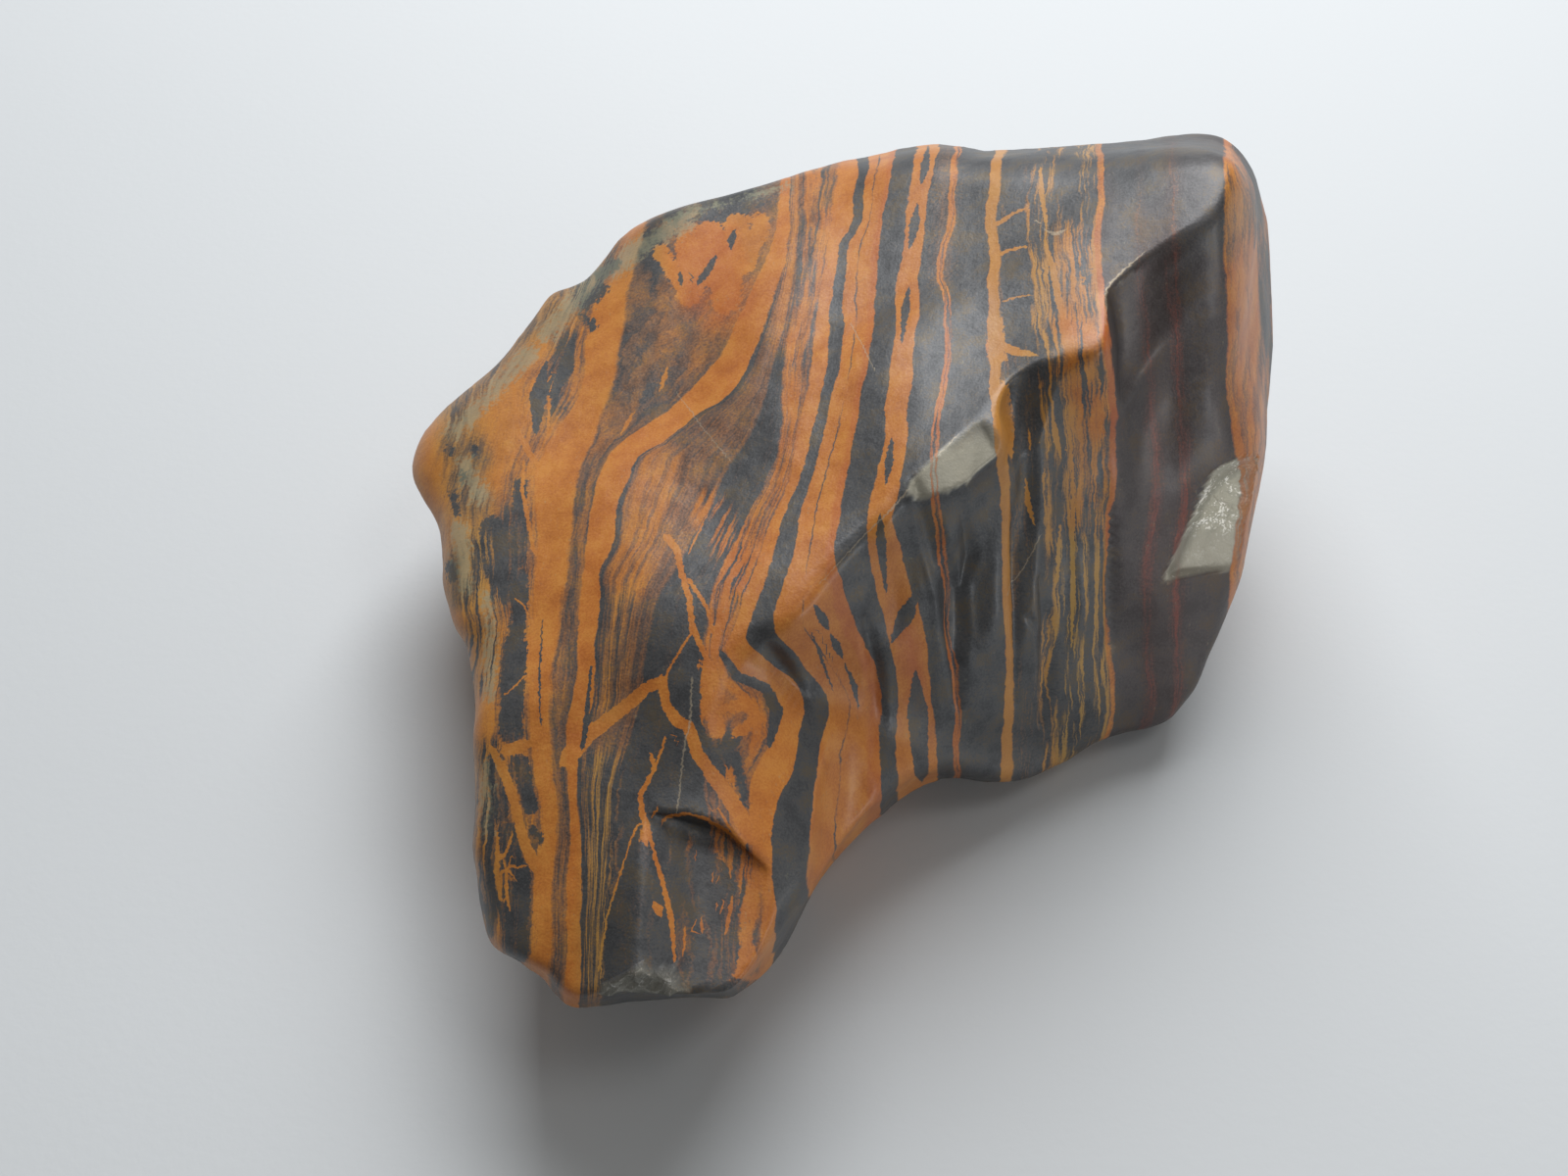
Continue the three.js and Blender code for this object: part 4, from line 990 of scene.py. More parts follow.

# Thin sage-grey streaks along the left rim: from, to, half width.
RIM_SAGE_STREAKS = [
    ((-24, 26), (-18.9, 31.8), 0.9),
    ((-18.9, 31.8), (-9.3, 38.4), 0.9),
    ((-9.3, 38.4), (0.5, 41), 0.5),
    ((-33.5, 16), (-26, 23.6), 0.9),
    ((-32.6, 12.6), (-31, 9.5), 1.0),
    ((-33.2, 6), (-32.4, 0), 0.8),
    ((-30, -1), (-30, -11), 0.4),
    ((-30.4, -18), (-30.2, -25), 0.4),
]

# Painted shade on parts of the fresh breaks, which are less pale and less torn there: from, to,
# half width, shares kept.
BREAK_PAINTED_SHADE = [
    ((17.2, 15.4), (21.2, 17.2), 0.9, (0.35, 1.0)),
    ((41, 3.4), (46.5, 3.4), 2.6, (0.76, 0.12)),
    ((40, 1.4), (46.5, 1.9), 0.4, (0.6, 1.0)),
]

PATCH_RAMP = 2.0  # millimetres over which a patch's strength goes from zero to one
VEIN_TAPER = 0.8  # how fast a vein's half width shrinks past its ends
VEIN_REACH = 0.7  # how far past its edge a vein's half width is kept
FRESH_DEPTH = 0.08  # how deep a cut has to go to look fully fresh
CUT_EDGE = (-0.6, -0.2)  # heights over a cut's own surface between which its look eases in
SEEN_FADE = 6.0  # depth behind the rim over which drifts and patches fade to about a third

# Behind the rim, where nothing is known of them, the sheets wander with the depth: their slope
# along U and V, and a swing with its rates along the depth, V and the depth again.
HIDDEN_SLOPE = (0.10, 0.12)
HIDDEN_SWING = 1.5
HIDDEN_RATES = (0.11, 0.06, 0.09)


def band_place(p):
    """(U, V, w) at which the bands are read. On the hidden sides U and V drift slowly with the
    depth, so that the sheets wander there as they do in front."""
    U, V = seen_from_eye(p)
    depth = behind_rim(p)
    slow, along, slower = HIDDEN_RATES
    swing = np.sin(slow * depth) * np.sin(along * V + slower * depth + 1.0)
    return np.stack([
        U + HIDDEN_SLOPE[0] * depth + HIDDEN_SWING * swing,
        V + HIDDEN_SLOPE[1] * depth,
        p[..., 2],
    ], -1)


def seam_at(name, V):
    """U of a seam at V, straight between its points."""
    points = np.array(sorted(SEAMS[name]))
    return np.interp(V, points[:, 0], points[:, 1])


def across_sheets(U, V):
    """Distance across the sheets: U, with every band stretched to its width at one level."""
    here = np.stack([seam_at(name, V) for name in SEAMS])
    there = np.array([seam_at(name, SHEET_LEVEL) for name in SEAMS])
    total = there[0] + np.minimum(U - here[0], 0) + np.maximum(U - here[-1], 0)
    for i in range(len(SEAMS) - 1):
        share = np.clip((U - here[i]) / (here[i + 1] - here[i]), 0, 1)
        total = total + share * (there[i + 1] - there[i])
    return total


def spread_round(U, V, start, end, half):
    """0.5 on the outline of a round-ended bar, rising inwards and falling outwards by one for
    every length of the ramp, between 0 and 1."""
    start, end = np.array(start), np.array(end)
    way = end - start
    offset = np.stack([U - start[0], V - start[1]], -1)
    along = np.clip(offset @ way / (way @ way), 0, 1)
    gap = np.hypot(*(offset - along[..., None] * way).transpose())
    return np.clip(0.5 + (half - gap) / PATCH_RAMP, 0, 1)


def vein_field(U, V, veins):
    """Two values for the veins of one set: the distance from the middle line of the nearest one,
    with a sign for its side, and the half width there. The half width shrinks past the ends and
    far from the vein, so that it is below zero wherever the sign can change by itself."""
    best = np.full(U.shape, -np.inf)
    signed_gap = np.zeros(U.shape)
    half_width = np.zeros(U.shape)
    for points, halves in veins:
        last = len(points) - 2
        for i, (a, b) in enumerate(zip(points[:-1], points[1:])):
            way_x, way_y = b[0] - a[0], b[1] - a[1]
            length = np.hypot(way_x, way_y)
            way_x, way_y = way_x / length, way_y / length
            along = (U - a[0]) * way_x + (V - a[1]) * way_y
            side = way_x * (V - a[1]) - way_y * (U - a[0])
            over = np.maximum(along - length, 0) + np.maximum(-along, 0)
            free = np.where(along < 0, i == 0, i == last)
            gap = np.where(free, np.abs(side), np.hypot(side, over))
            half = np.interp(along, [0, length], halves[i:i + 2]) - VEIN_TAPER * over * free
            half = half - np.maximum(gap - half - VEIN_REACH, 0)
            better = half - gap > best
            best = np.where(better, half - gap, best)
            signed_gap = np.where(better, np.copysign(gap, side), signed_gap)
            half_width = np.where(better, half, half_width)
    return np.stack([signed_gap, half_width, np.zeros_like(U)], -1)


def fresh_breaks(p):
    """Paleness, partly painted sheen, and tear of the fresh breaks at points of the skin, both
    zero where it is worn: the strongest of the cuts' looks, each eased in with the depth cut off
    the worn skin, then painted shade laid on the listed parts."""
    fresh = eased(skin(p) - worn_skin(p), 0.0, FRESH_DEPTH)
    waves = unevenness(p)
    cuts = [(above_notch(p, notch) + waves, row[6:])
            for notch, row in zip(fresh_notches, FRESH_NOTCHES)]
    cuts += [(above_bowl(p, chip), CHIP_LOOK) for chip in chips]
    looks = [(fresh * eased(above, *CUT_EDGE))[..., None] * np.array(look) for above, look in cuts]
    strongest = np.max(looks, axis=0)
    # Painted shade: the listed parts of the breaks are kept less pale and less torn.
    for start, end, half, kept in BREAK_PAINTED_SHADE:
        shaded = spread_round(*seen_from_eye(p), start, end, half)[..., None]
        strongest *= 1 - shaded * (1 - np.array(kept))
    return strongest


# ---------------------------------------------------------------------------
# Fine relief and the mesh
# ---------------------------------------------------------------------------
# Sizes and heights of the water-worn lumps, of the ribs along the sheets, and of the tears.
LUMPS = ((5.2, 0.10), (2.3, 0.05), (1.1, 0.02))
RIBS = ((1.9, 0.12), (0.9, 0.04))
TEARS = ((2.6, 0.18), (1.2, 0.1))
TEAR_SINK = 0.1  # how far the torn parts are sunk
RIB_STRETCH = 0.18  # how much slower the ribs change along the sheets than across them
RIBS_ON_TOP = 0.25  # share of the ribs left on the upper face
OFF_TOP = (0.3, 2.5)  # depth below the upper face over which the ribs grow to their whole height

# Torn steps: height, their rates along u and v, and the size and depth of their wander.
STEP_TALL = 0.3
STEP_RATES = (0.25, 0.55)
STEP_WANDER = (4.0, 0.5)

# Creases down the front, relief only: middle line as places (U, V), half widths along it.
CREASES = [
    ([(13.4, 11), (15.2, 5), (17.2, -0.5), (17.5, -4.5), (17.8, -12)], [0.4, 1.1, 1.5, 1.3, 0.4]),
    ([(18.2, 8), (19, 3.5), (18, -1)], [0.3, 0.7, 0.3]),
    ([(23.2, 10), (23.6, 3), (23.9, -4), (23.6, -12)], [0.2, 0.5, 0.5, 0.2]),
    ([(26.4, 1), (26.9, -3.5), (26.8, -9), (26.2, -14)], [0.3, 0.8, 0.9, 0.3]),
    ([(24.9, -3), (26, -3.9), (26.9, -5.8)], [0.2, 0.4, 0.3]),
    ([(8.2, -3), (9.3, -8), (9.5, -14), (9.2, -18)], [0.4, 0.9, 1.0, 0.4]),
    ([(33.5, 8), (33.6, 1), (33.4, -6)], [0.3, 0.9, 0.4]),
    ([(42, 6.4), (43.4, 6.9), (46.2, 6.8)], [0.1, 0.3, 0.1]),
]
CREASE_DEPTH = 0.7
CREASE_EDGE = (-0.5, 1.0)  # from outside a crease's edge to its full depth
CREASE_END = 2.0  # millimetres behind the rim by which the creases have gone

# Large odd numbers that mix up the corners of a lattice, and half the range of the last 16 bits of
# what they give.
MIXERS = np.array([73856093, 19349663, 83492791])
START_MIXER = 7919
LAST_MIXER = 1274126177
HALF_RANGE = 32767.5


def patchy(p, size, start):
    """Smooth unevenness from -1 to 1: a mixed-up number for each corner of a lattice of cubes of
    the given size, eased between the eight corners round each point."""
    scaled = p / size
    corner = np.floor(scaled).astype(np.int64)
    part = scaled - corner
    part = part * part * (3 - 2 * part)
    total = np.zeros(p.shape[:-1])
    for step in np.ndindex(2, 2, 2):
        mixed = (corner + step) @ MIXERS + start * START_MIXER
        mixed = (mixed ^ (mixed >> 13)) * LAST_MIXER
        value = ((mixed ^ (mixed >> 16)) & 0xFFFF) / HALF_RANGE - 1
        total += value * np.prod(np.where(step, part, 1 - part), axis=-1)
    return total


def layered(p, sizes, start):
    """Sum of patchy unevenness at several sizes, each with its own height and start."""
    return sum(tall * patchy(p, size, start + i) for i, (size, tall) in enumerate(sizes))


def relief(p, sheets, torn_share):
    """Height of the fine unevenness on top of the skin: water-worn lumps at three sizes, ribs
    where softer sheets have worn back away from the upper face, creases down the front, and torn
    steps on fresh breaks, each step a sawtooth along the sheets."""
    lumps = layered(p, LUMPS, 1)
    top = np.maximum(height(upper_face, p), height(foot_top, p))
    off_top = eased(-top, *OFF_TOP)
    along = np.stack([sheets, RIB_STRETCH * p[..., 1], RIB_STRETCH * p[..., 2]], -1)
    ribs = layered(along, RIBS, 4) * (RIBS_ON_TOP + (1 - RIBS_ON_TOP) * off_top)
    torn = sum(tall * np.abs(patchy(p, size, 6 + i)) for i, (size, tall) in enumerate(TEARS))
    wander_size, wander = STEP_WANDER
    climb = STEP_RATES[1] * p[..., 1] + STEP_RATES[0] * p[..., 0]
    climb = climb + wander * patchy(p, wander_size, 8)
    steps = STEP_TALL * (climb - np.floor(climb)) * torn_share ** 2
    side, half, _ = np.moveaxis(vein_field(*seen_from_eye(p), CREASES), -1, 0)
    creases = CREASE_DEPTH * eased(half - np.abs(side), *CREASE_EDGE)
    creases = creases * eased(-behind_rim(p), -CREASE_END, 0)
    return lumps + ribs + (torn - TEAR_SINK) * torn_share + steps - creases


def add_values(mesh, name, values):
    """A number or a vector for every point of the mesh, under the name that the material reads."""
    kind, field = ("FLOAT", "value") if values.ndim == 1 else ("FLOAT_VECTOR", "vector")
    layer = mesh.attributes.new(name, kind, "POINT")
    layer.data.foreach_set(field, np.ascontiguousarray(values, np.float32).ravel())


def pattern_values(points, at, sheets, paleness, tear):
    """What the material reads at every point: the place on the bands, the distance across the
    sheets, the drifts, the stains with the paleness of fresh breaks, partly painted sheen, the
    sage streaks, and the veins with the painted crest highlights among them."""
    U, V, _ = at.transpose()
    seen = np.exp(-behind_rim(points) / SEEN_FADE)
    drift = np.zeros_like(points)
    for start, end, half, shift in DRIFTS:
        drift += spread_round(U, V, start, end, half)[:, None] * np.array(shift)
    stain = [
        np.max([spread_round(U, V, *patch) for patch in STAINS[kind]], axis=0) * seen
        for kind in ("ochre", "dark")
    ]
    rim_sage = np.max([spread_round(U, V, *streak) for streak in RIM_SAGE_STREAKS], axis=0)
    values = {
        "place": at,
        "drift": drift * seen[:, None],
        "stain": np.stack([*stain, paleness], -1),
        "sheets": sheets,
        "tear": tear,
        "rim_sage": rim_sage * seen,
    }
    for name in VEIN_SETS:
        values[name] = vein_field(U, V, VEINS[name])
    return values


def flattest_triangles(points, quads):
    """Each cell cut in two along the way whose middle lies nearer to the skin."""
    folds, cross_folds = [
        np.abs(skin((points[quads[:, i]] + points[quads[:, i + 2]]) / 2)) for i in (0, 1)
    ]
    corners = np.where((folds > cross_folds)[:, None], np.roll(quads, -1, axis=1), quads)
    return np.concatenate([corners[:, [0, 1, 2]], corners[:, [0, 2, 3]]])


def make_stone():
    """The stone: skin points from the ray grid, pushed out by the relief along their rays, with
    the values of its pattern stored on the points."""
    points, quads = stone_grid()
    at = band_place(points)
    sheets = across_sheets(at[:, 0], at[:, 1])
    paleness, tear = fresh_breaks(points).transpose()
    rays = unit(points - HEART)
    resting = level(points) < GROUND + RESTING_GAP
    lifted = points + rays * np.where(resting, 0, relief(points, sheets, tear))[:, None]
    sunk = np.minimum(level(lifted) - GROUND, 0)
    lifted -= sunk[:, None] * np.array([0, COS_RISE, SIN_RISE])

    mesh = bpy.data.meshes.new("tiger_iron_stone")
    mesh.from_pydata(to_part(lifted), [], flattest_triangles(points, quads))
    mesh.shade_smooth()
    for name, values in pattern_values(points, at, sheets, paleness, tear).items():
        add_values(mesh, name, values)
    made = bpy.data.objects.new("tiger_iron_stone", mesh)
    bpy.context.collection.objects.link(made)
    return made


# ---------------------------------------------------------------------------
# Materials. Rates of a pattern are per millimetre, so 1 / rate is the size of its features. The
# depths of a colour are its shades, each at a place along the cloudiness from 0 to 1.
# ---------------------------------------------------------------------------
OCHRE = "#B46D26"
OCHRE_LIGHT = "#BE7B30"
OCHRE_DEEP = "#A45D1C"
BRICK = "#9C3F26"
STRAW = "#A8823F"
IRON = "#535456"
IRON_DARK = "#454648"
IRON_BROWN = "#5F574C"
IRON_RED = "#4C3A35"
# Pale quartz of the hairlines, also painted along the crest as a highlight.
PALE_QUARTZ_AND_HIGHLIGHT = "#A89A84"
# Fresh breaks: pale olive grey, partly painted reflection, and their painted glints.
FRACTURE_AND_SHEEN = "#ABA797"
FRACTURE_GLINT = "#F0ECE2"
# Sage grey of the streaks along the left rim.
SAGE_GREY = "#8B8B74"
PAPER = "#C6CACD"
JASPER_DEPTHS = ((0.36, OCHRE_DEEP), (0.5, OCHRE), (0.62, OCHRE_LIGHT))
IRON_DEPTHS = ((0.38, IRON_DARK), (0.5, IRON), (0.62, IRON_BROWN))
IRON_ROUGHNESS = 0.5
OCHRE_ROUGHNESS = 0.46
IRON_METALLIC = 0.6
QUARTZ_IOR = 1.5
POLISH, POLISH_ROUGHNESS = 0.12, 0.22  # low sheen left by the water

# Wander of the seams: rate, detail, and reach in millimetres across the sheets.
SEAM_WANDERS = ((0.16, 1.0, 1.0), (0.9, 2.0, 0.45), (5.0, 1.0, 0.14))

# Threads, coarse ones about 0.7 mm apart and fine ones about 0.2 mm apart: rate across the sheets,
# rate along them, share in the whole.
THREADS = ((1.5, 0.08, 0.55), (4.5, 0.2, 0.45))
THREAD_CONTRAST = 2.2
THREAD_EDGE = (0.4, 0.6)  # noise values between which a thread goes from none to whole

RAG_RATE = 2.2  # ragged outlines of the stains, veins and sage streaks, about 0.5 mm
RAG_THREADS = 0.4  # how much the threads fray the stains and the sage streaks
STAIN_RAG = 0.6
STAIN_EDGE = (0.42, 0.58)  # strengths between which a stain goes from none to whole
VEIN_RAG = 0.55  # in millimetres
VEIN_EDGE = 0.06  # half the softness of a vein's edge, in millimetres
OCHRE_STAIN = 0.96  # ochre share of an ochre stain
DARK_STAIN = 0.08  # ochre share of a dark stain
DARK_STAIN_THREADS = 1.8  # strength of the threads that a drift leaves in a dark stain
QUARTZ_AND_HIGHLIGHT_COVER = 0.6  # how much the pale hairlines and painted crest highlights cover

CLOUD_RATE = 0.35  # cloudiness of the colour, about 3 mm
GRAIN_RATE = 4.0  # grain of the stone, drawn at 0.25 mm, as coarse as it needs to show
GRAIN_SHARE = 0.4  # of the grain in the cloudiness, and how much it frays the ochre
RUDDY_SHARE = 0.6  # how much of the red the haematite takes
MINERAL_EDGE = (0.1, 0.9)  # ochre shares between which a spot goes from haematite to jasper
SAGE_RAG = 1.3
SAGE_EDGE = (0.3, 0.85)  # strengths between which the sage streaks go from none to whole
SAGE_SHARE = 0.64  # how much the sage streaks cover where whole
GLINT_EDGE = (0.52, 0.62)  # noise values between which a painted glint goes from none to whole
JASPER_KEPT = 0.85  # how much less pale a fresh break is where it is jasper
TEAR_RATE = 0.8  # silky tears of the fresh breaks, about 1.2 mm
RIPPLE_RATE = 0.9  # water-worn ripple too fine for the mesh, about 1.1 mm

# Heights in millimetres of what only shows in the light on the surface.
RIPPLE_TALL = 0.06
GRAIN_TALL = 0.02
THREAD_TALL = 0.003
TEAR_TALL = 0.25

PAPER_ROUGHNESS = 0.6
TOOTH_RATE = 900.0  # tooth of the paper per metre, which is 1.1 mm
TOOTH_TALL = 0.1 * MM


def linear(colour):
    """An sRGB hex colour as linear red, green, blue and alpha."""
    parts = np.array([int(colour[i:i + 2], 16) for i in (1, 3, 5)]) / 255
    values = np.where(parts <= 0.04045, parts / 12.92, ((parts + 0.055) / 1.055) ** 2.4)
    return (*values.tolist(), 1.0)


def add(tree, kind, inputs=None, out=0, **settings):
    """Adds a node, sets it, fills or links its inputs, and gives back one of its outputs, or the
    node itself where it has none."""
    node = tree.nodes.new(kind)
    for name, value in settings.items():
        setattr(node, name, value)
    for socket, value in (inputs or {}).items():
        if isinstance(value, bpy.types.NodeSocket):
            tree.links.new(value, node.inputs[socket])
        else:
            node.inputs[socket].default_value = value
    return node.outputs[out] if node.outputs else node


def empty_material(name):
    """A material with an empty node tree."""
    material = bpy.data.materials.new(name)
    material.use_nodes = True
    material.node_tree.nodes.clear()
    return material, material.node_tree


def seam_curves(tree, V):
    """U of every seam at V, one curve for each."""
    curves = {}
    for name, points in SEAMS.items():
        curve = add(tree, "ShaderNodeFloatCurve", {"Value": V})
        mapping = curve.node.mapping
        mapping.use_clip = False
        mapping.extend = "HORIZONTAL"
        knots = sorted(points)
        line = mapping.curves[0].points
        while len(line) < len(knots):
            line.new(0, 0)
        for knot, (v, u) in zip(line, knots):
            knot.location = (v, u)
        mapping.update()
        curves[name] = curve
    return curves


def bands_across(tree, U, V):
    """What the band at (U, V) holds: ochre share, thread strength and tone, from -1 for gold to
    1 for red. Going from left to right, each seam adds the change from band to band."""
    curves = seam_curves(tree, V)
    held = BANDS[0][3]
    total = add(tree, "ShaderNodeCombineXYZ", {"X": held[0], "Y": held[1], "Z": held[2]})
    for _, seam, soft, values in BANDS[1:]:
        left, right, share, beyond = seam
        line = curves[left]
        if share:
            line = add(tree, "ShaderNodeMix", {0: share, 2: curves[left], 3: curves[right]})
        past = add(tree, "ShaderNodeMath", {0: U, 1: line}, operation="SUBTRACT")
        step = add(
            tree, "ShaderNodeMapRange",
            {"Value": past, "From Min": beyond - soft, "From Max": beyond + soft},
            interpolation_type="SMOOTHSTEP",
        )
        change = [new - old for new, old in zip(values, held)]
        total = add(
            tree, "ShaderNodeVectorMath", {0: step, 1: change, 2: total}, operation="MULTIPLY_ADD"
        )
        held = values
    return total


def wandered(tree, where, U):
    """U with ragged seams: noise of three sizes, each centred and times its reach, added on."""
    for rate, detail, reach in SEAM_WANDERS:
        wander = add(tree, "ShaderNodeTexNoise", {"Vector": where, "Scale": rate, "Detail": detail})
        U = add(tree, "ShaderNodeMath", {0: wander, 1: reach, 2: U}, operation="MULTIPLY_ADD")
        U = add(tree, "ShaderNodeMath", {0: U, 1: 0.5 * reach}, operation="SUBTRACT")
    return U


def thread_streaks(tree, across, V, w):
    """Threads from 0 to 1: noise stretched along the sheets, sharpened, at two sizes."""
    threads = None
    for rate, slow_rate, share in THREADS:
        stretched = add(
            tree, "ShaderNodeCombineXYZ",
            {
                "X": add(tree, "ShaderNodeMath", {0: across, 1: rate}, operation="MULTIPLY"),
                "Y": add(tree, "ShaderNodeMath", {0: V, 1: slow_rate}, operation="MULTIPLY"),
                "Z": add(tree, "ShaderNodeMath", {0: w, 1: slow_rate}, operation="MULTIPLY"),
            },
        )
        streak = add(tree, "ShaderNodeTexNoise", {"Vector": stretched, "Scale": 1.0, "Detail": 2.0})
        sharp = add(
            tree, "ShaderNodeMapRange",
            {
                "Value": streak, "From Min": THREAD_EDGE[0], "From Max": THREAD_EDGE[1],
                "To Max": share,
            },
            interpolation_type="SMOOTHSTEP",
        )
        threads = sharp if threads is None else add(
            tree, "ShaderNodeMath", {0: threads, 1: sharp}, operation="ADD"
        )
    return threads


def stained(tree, ochre, stains, fray, faint):
    """The ochre share with the ochre and then the dark stains laid over it."""
    for channel, amount in (("X", OCHRE_STAIN), ("Y", faint)):
        edge = add(
            tree, "ShaderNodeMath", {0: fray, 1: STAIN_RAG, 2: stains[channel]},
            operation="MULTIPLY_ADD",
        )
        mask = add(
            tree, "ShaderNodeMapRange",
            {"Value": edge, "From Min": STAIN_EDGE[0], "From Max": STAIN_EDGE[1]},
            interpolation_type="SMOOTHSTEP",
        )
        ochre = add(tree, "ShaderNodeMix", {0: mask, 2: ochre, 3: amount})
    return ochre


def veined(tree, ochre, rag):
    """The ochre share with the ochre and dark veins laid over it, and the mask of the pale
    hairlines and painted crest highlights. A point is in a vein where its ragged gap is less than
    the half width."""
    pale = None
    for name, amount in VEIN_SETS.items():
        vein = add(tree, "ShaderNodeAttribute", out="Vector", attribute_name=name)
        vein = add(tree, "ShaderNodeSeparateXYZ", {0: vein}).node.outputs
        gap = add(
            tree, "ShaderNodeMath", {0: rag, 1: VEIN_RAG, 2: vein["X"]}, operation="MULTIPLY_ADD"
        )
        gap = add(tree, "ShaderNodeMath", {0: gap}, operation="ABSOLUTE")
        inside = add(tree, "ShaderNodeMath", {0: vein["Y"], 1: gap}, operation="SUBTRACT")
        mask = add(
            tree, "ShaderNodeMapRange",
            {"Value": inside, "From Min": -VEIN_EDGE, "From Max": VEIN_EDGE},
            interpolation_type="SMOOTHSTEP",
        )
        # Pale quartz hairlines, and painted highlights along the crest.
        if amount is None:
            pale = add(tree, "ShaderNodeMath", {0: mask, 1: QUARTZ_AND_HIGHLIGHT_COVER}, operation="MULTIPLY")
        else:
            ochre = add(tree, "ShaderNodeMix", {0: mask, 2: ochre, 3: amount})
    return ochre, pale


def mineral_colours(tree, tone, blend):
    """Haematite, which goes ruddy with the red, and jasper and tiger's eye, ochre pulled towards
    brick red or straw yellow by the tone."""
    clouded = []
    for low, middle, high in (JASPER_DEPTHS, IRON_DEPTHS):
        clouded.append(add(tree, "ShaderNodeValToRGB", {0: blend}))
        stops = clouded[-1].node.color_ramp.elements
        stops[0].position, stops[0].color = low[0], linear(low[1])
        stops[1].position, stops[1].color = high[0], linear(high[1])
        stops.new(middle[0]).color = linear(middle[1])
    jasper, iron = clouded
    reddish = add(tree, "ShaderNodeMath", {0: tone, 1: 0.0}, operation="ADD", use_clamp=True)
    golden = add(tree, "ShaderNodeMath", {0: tone, 1: -1.0}, operation="MULTIPLY", use_clamp=True)
    for share, colour in ((reddish, BRICK), (golden, STRAW)):
        jasper = add(
            tree, "ShaderNodeMix", {0: share, 6: jasper, 7: linear(colour)}, out=2,
            data_type="RGBA",
        )
    ruddy = add(tree, "ShaderNodeMath", {0: reddish, 1: RUDDY_SHARE}, operation="MULTIPLY")
    iron = add(
        tree, "ShaderNodeMix", {0: ruddy, 6: iron, 7: linear(IRON_RED)}, out=2, data_type="RGBA"
    )
    return iron, jasper


def fracture_and_sheen_colour(tree, torn, grain, tear):
    """Fresh break: pale olive grey, partly painted reflection, with painted glints where the
    noise is high and the break is torn.
    """
    glint = add(tree, "ShaderNodeMix", {0: 0.5, 2: torn, 3: grain})
    glint = add(
        tree, "ShaderNodeMapRange",
        {"Value": glint, "From Min": GLINT_EDGE[0], "From Max": GLINT_EDGE[1]},
        interpolation_type="SMOOTHSTEP",
    )
    glint = add(tree, "ShaderNodeMath", {0: glint, 1: tear}, operation="MULTIPLY", use_clamp=True)
    return add(
        tree, "ShaderNodeMix", {0: glint, 6: linear(FRACTURE_AND_SHEEN), 7: linear(FRACTURE_GLINT)}, out=2,
        data_type="RGBA",
    )


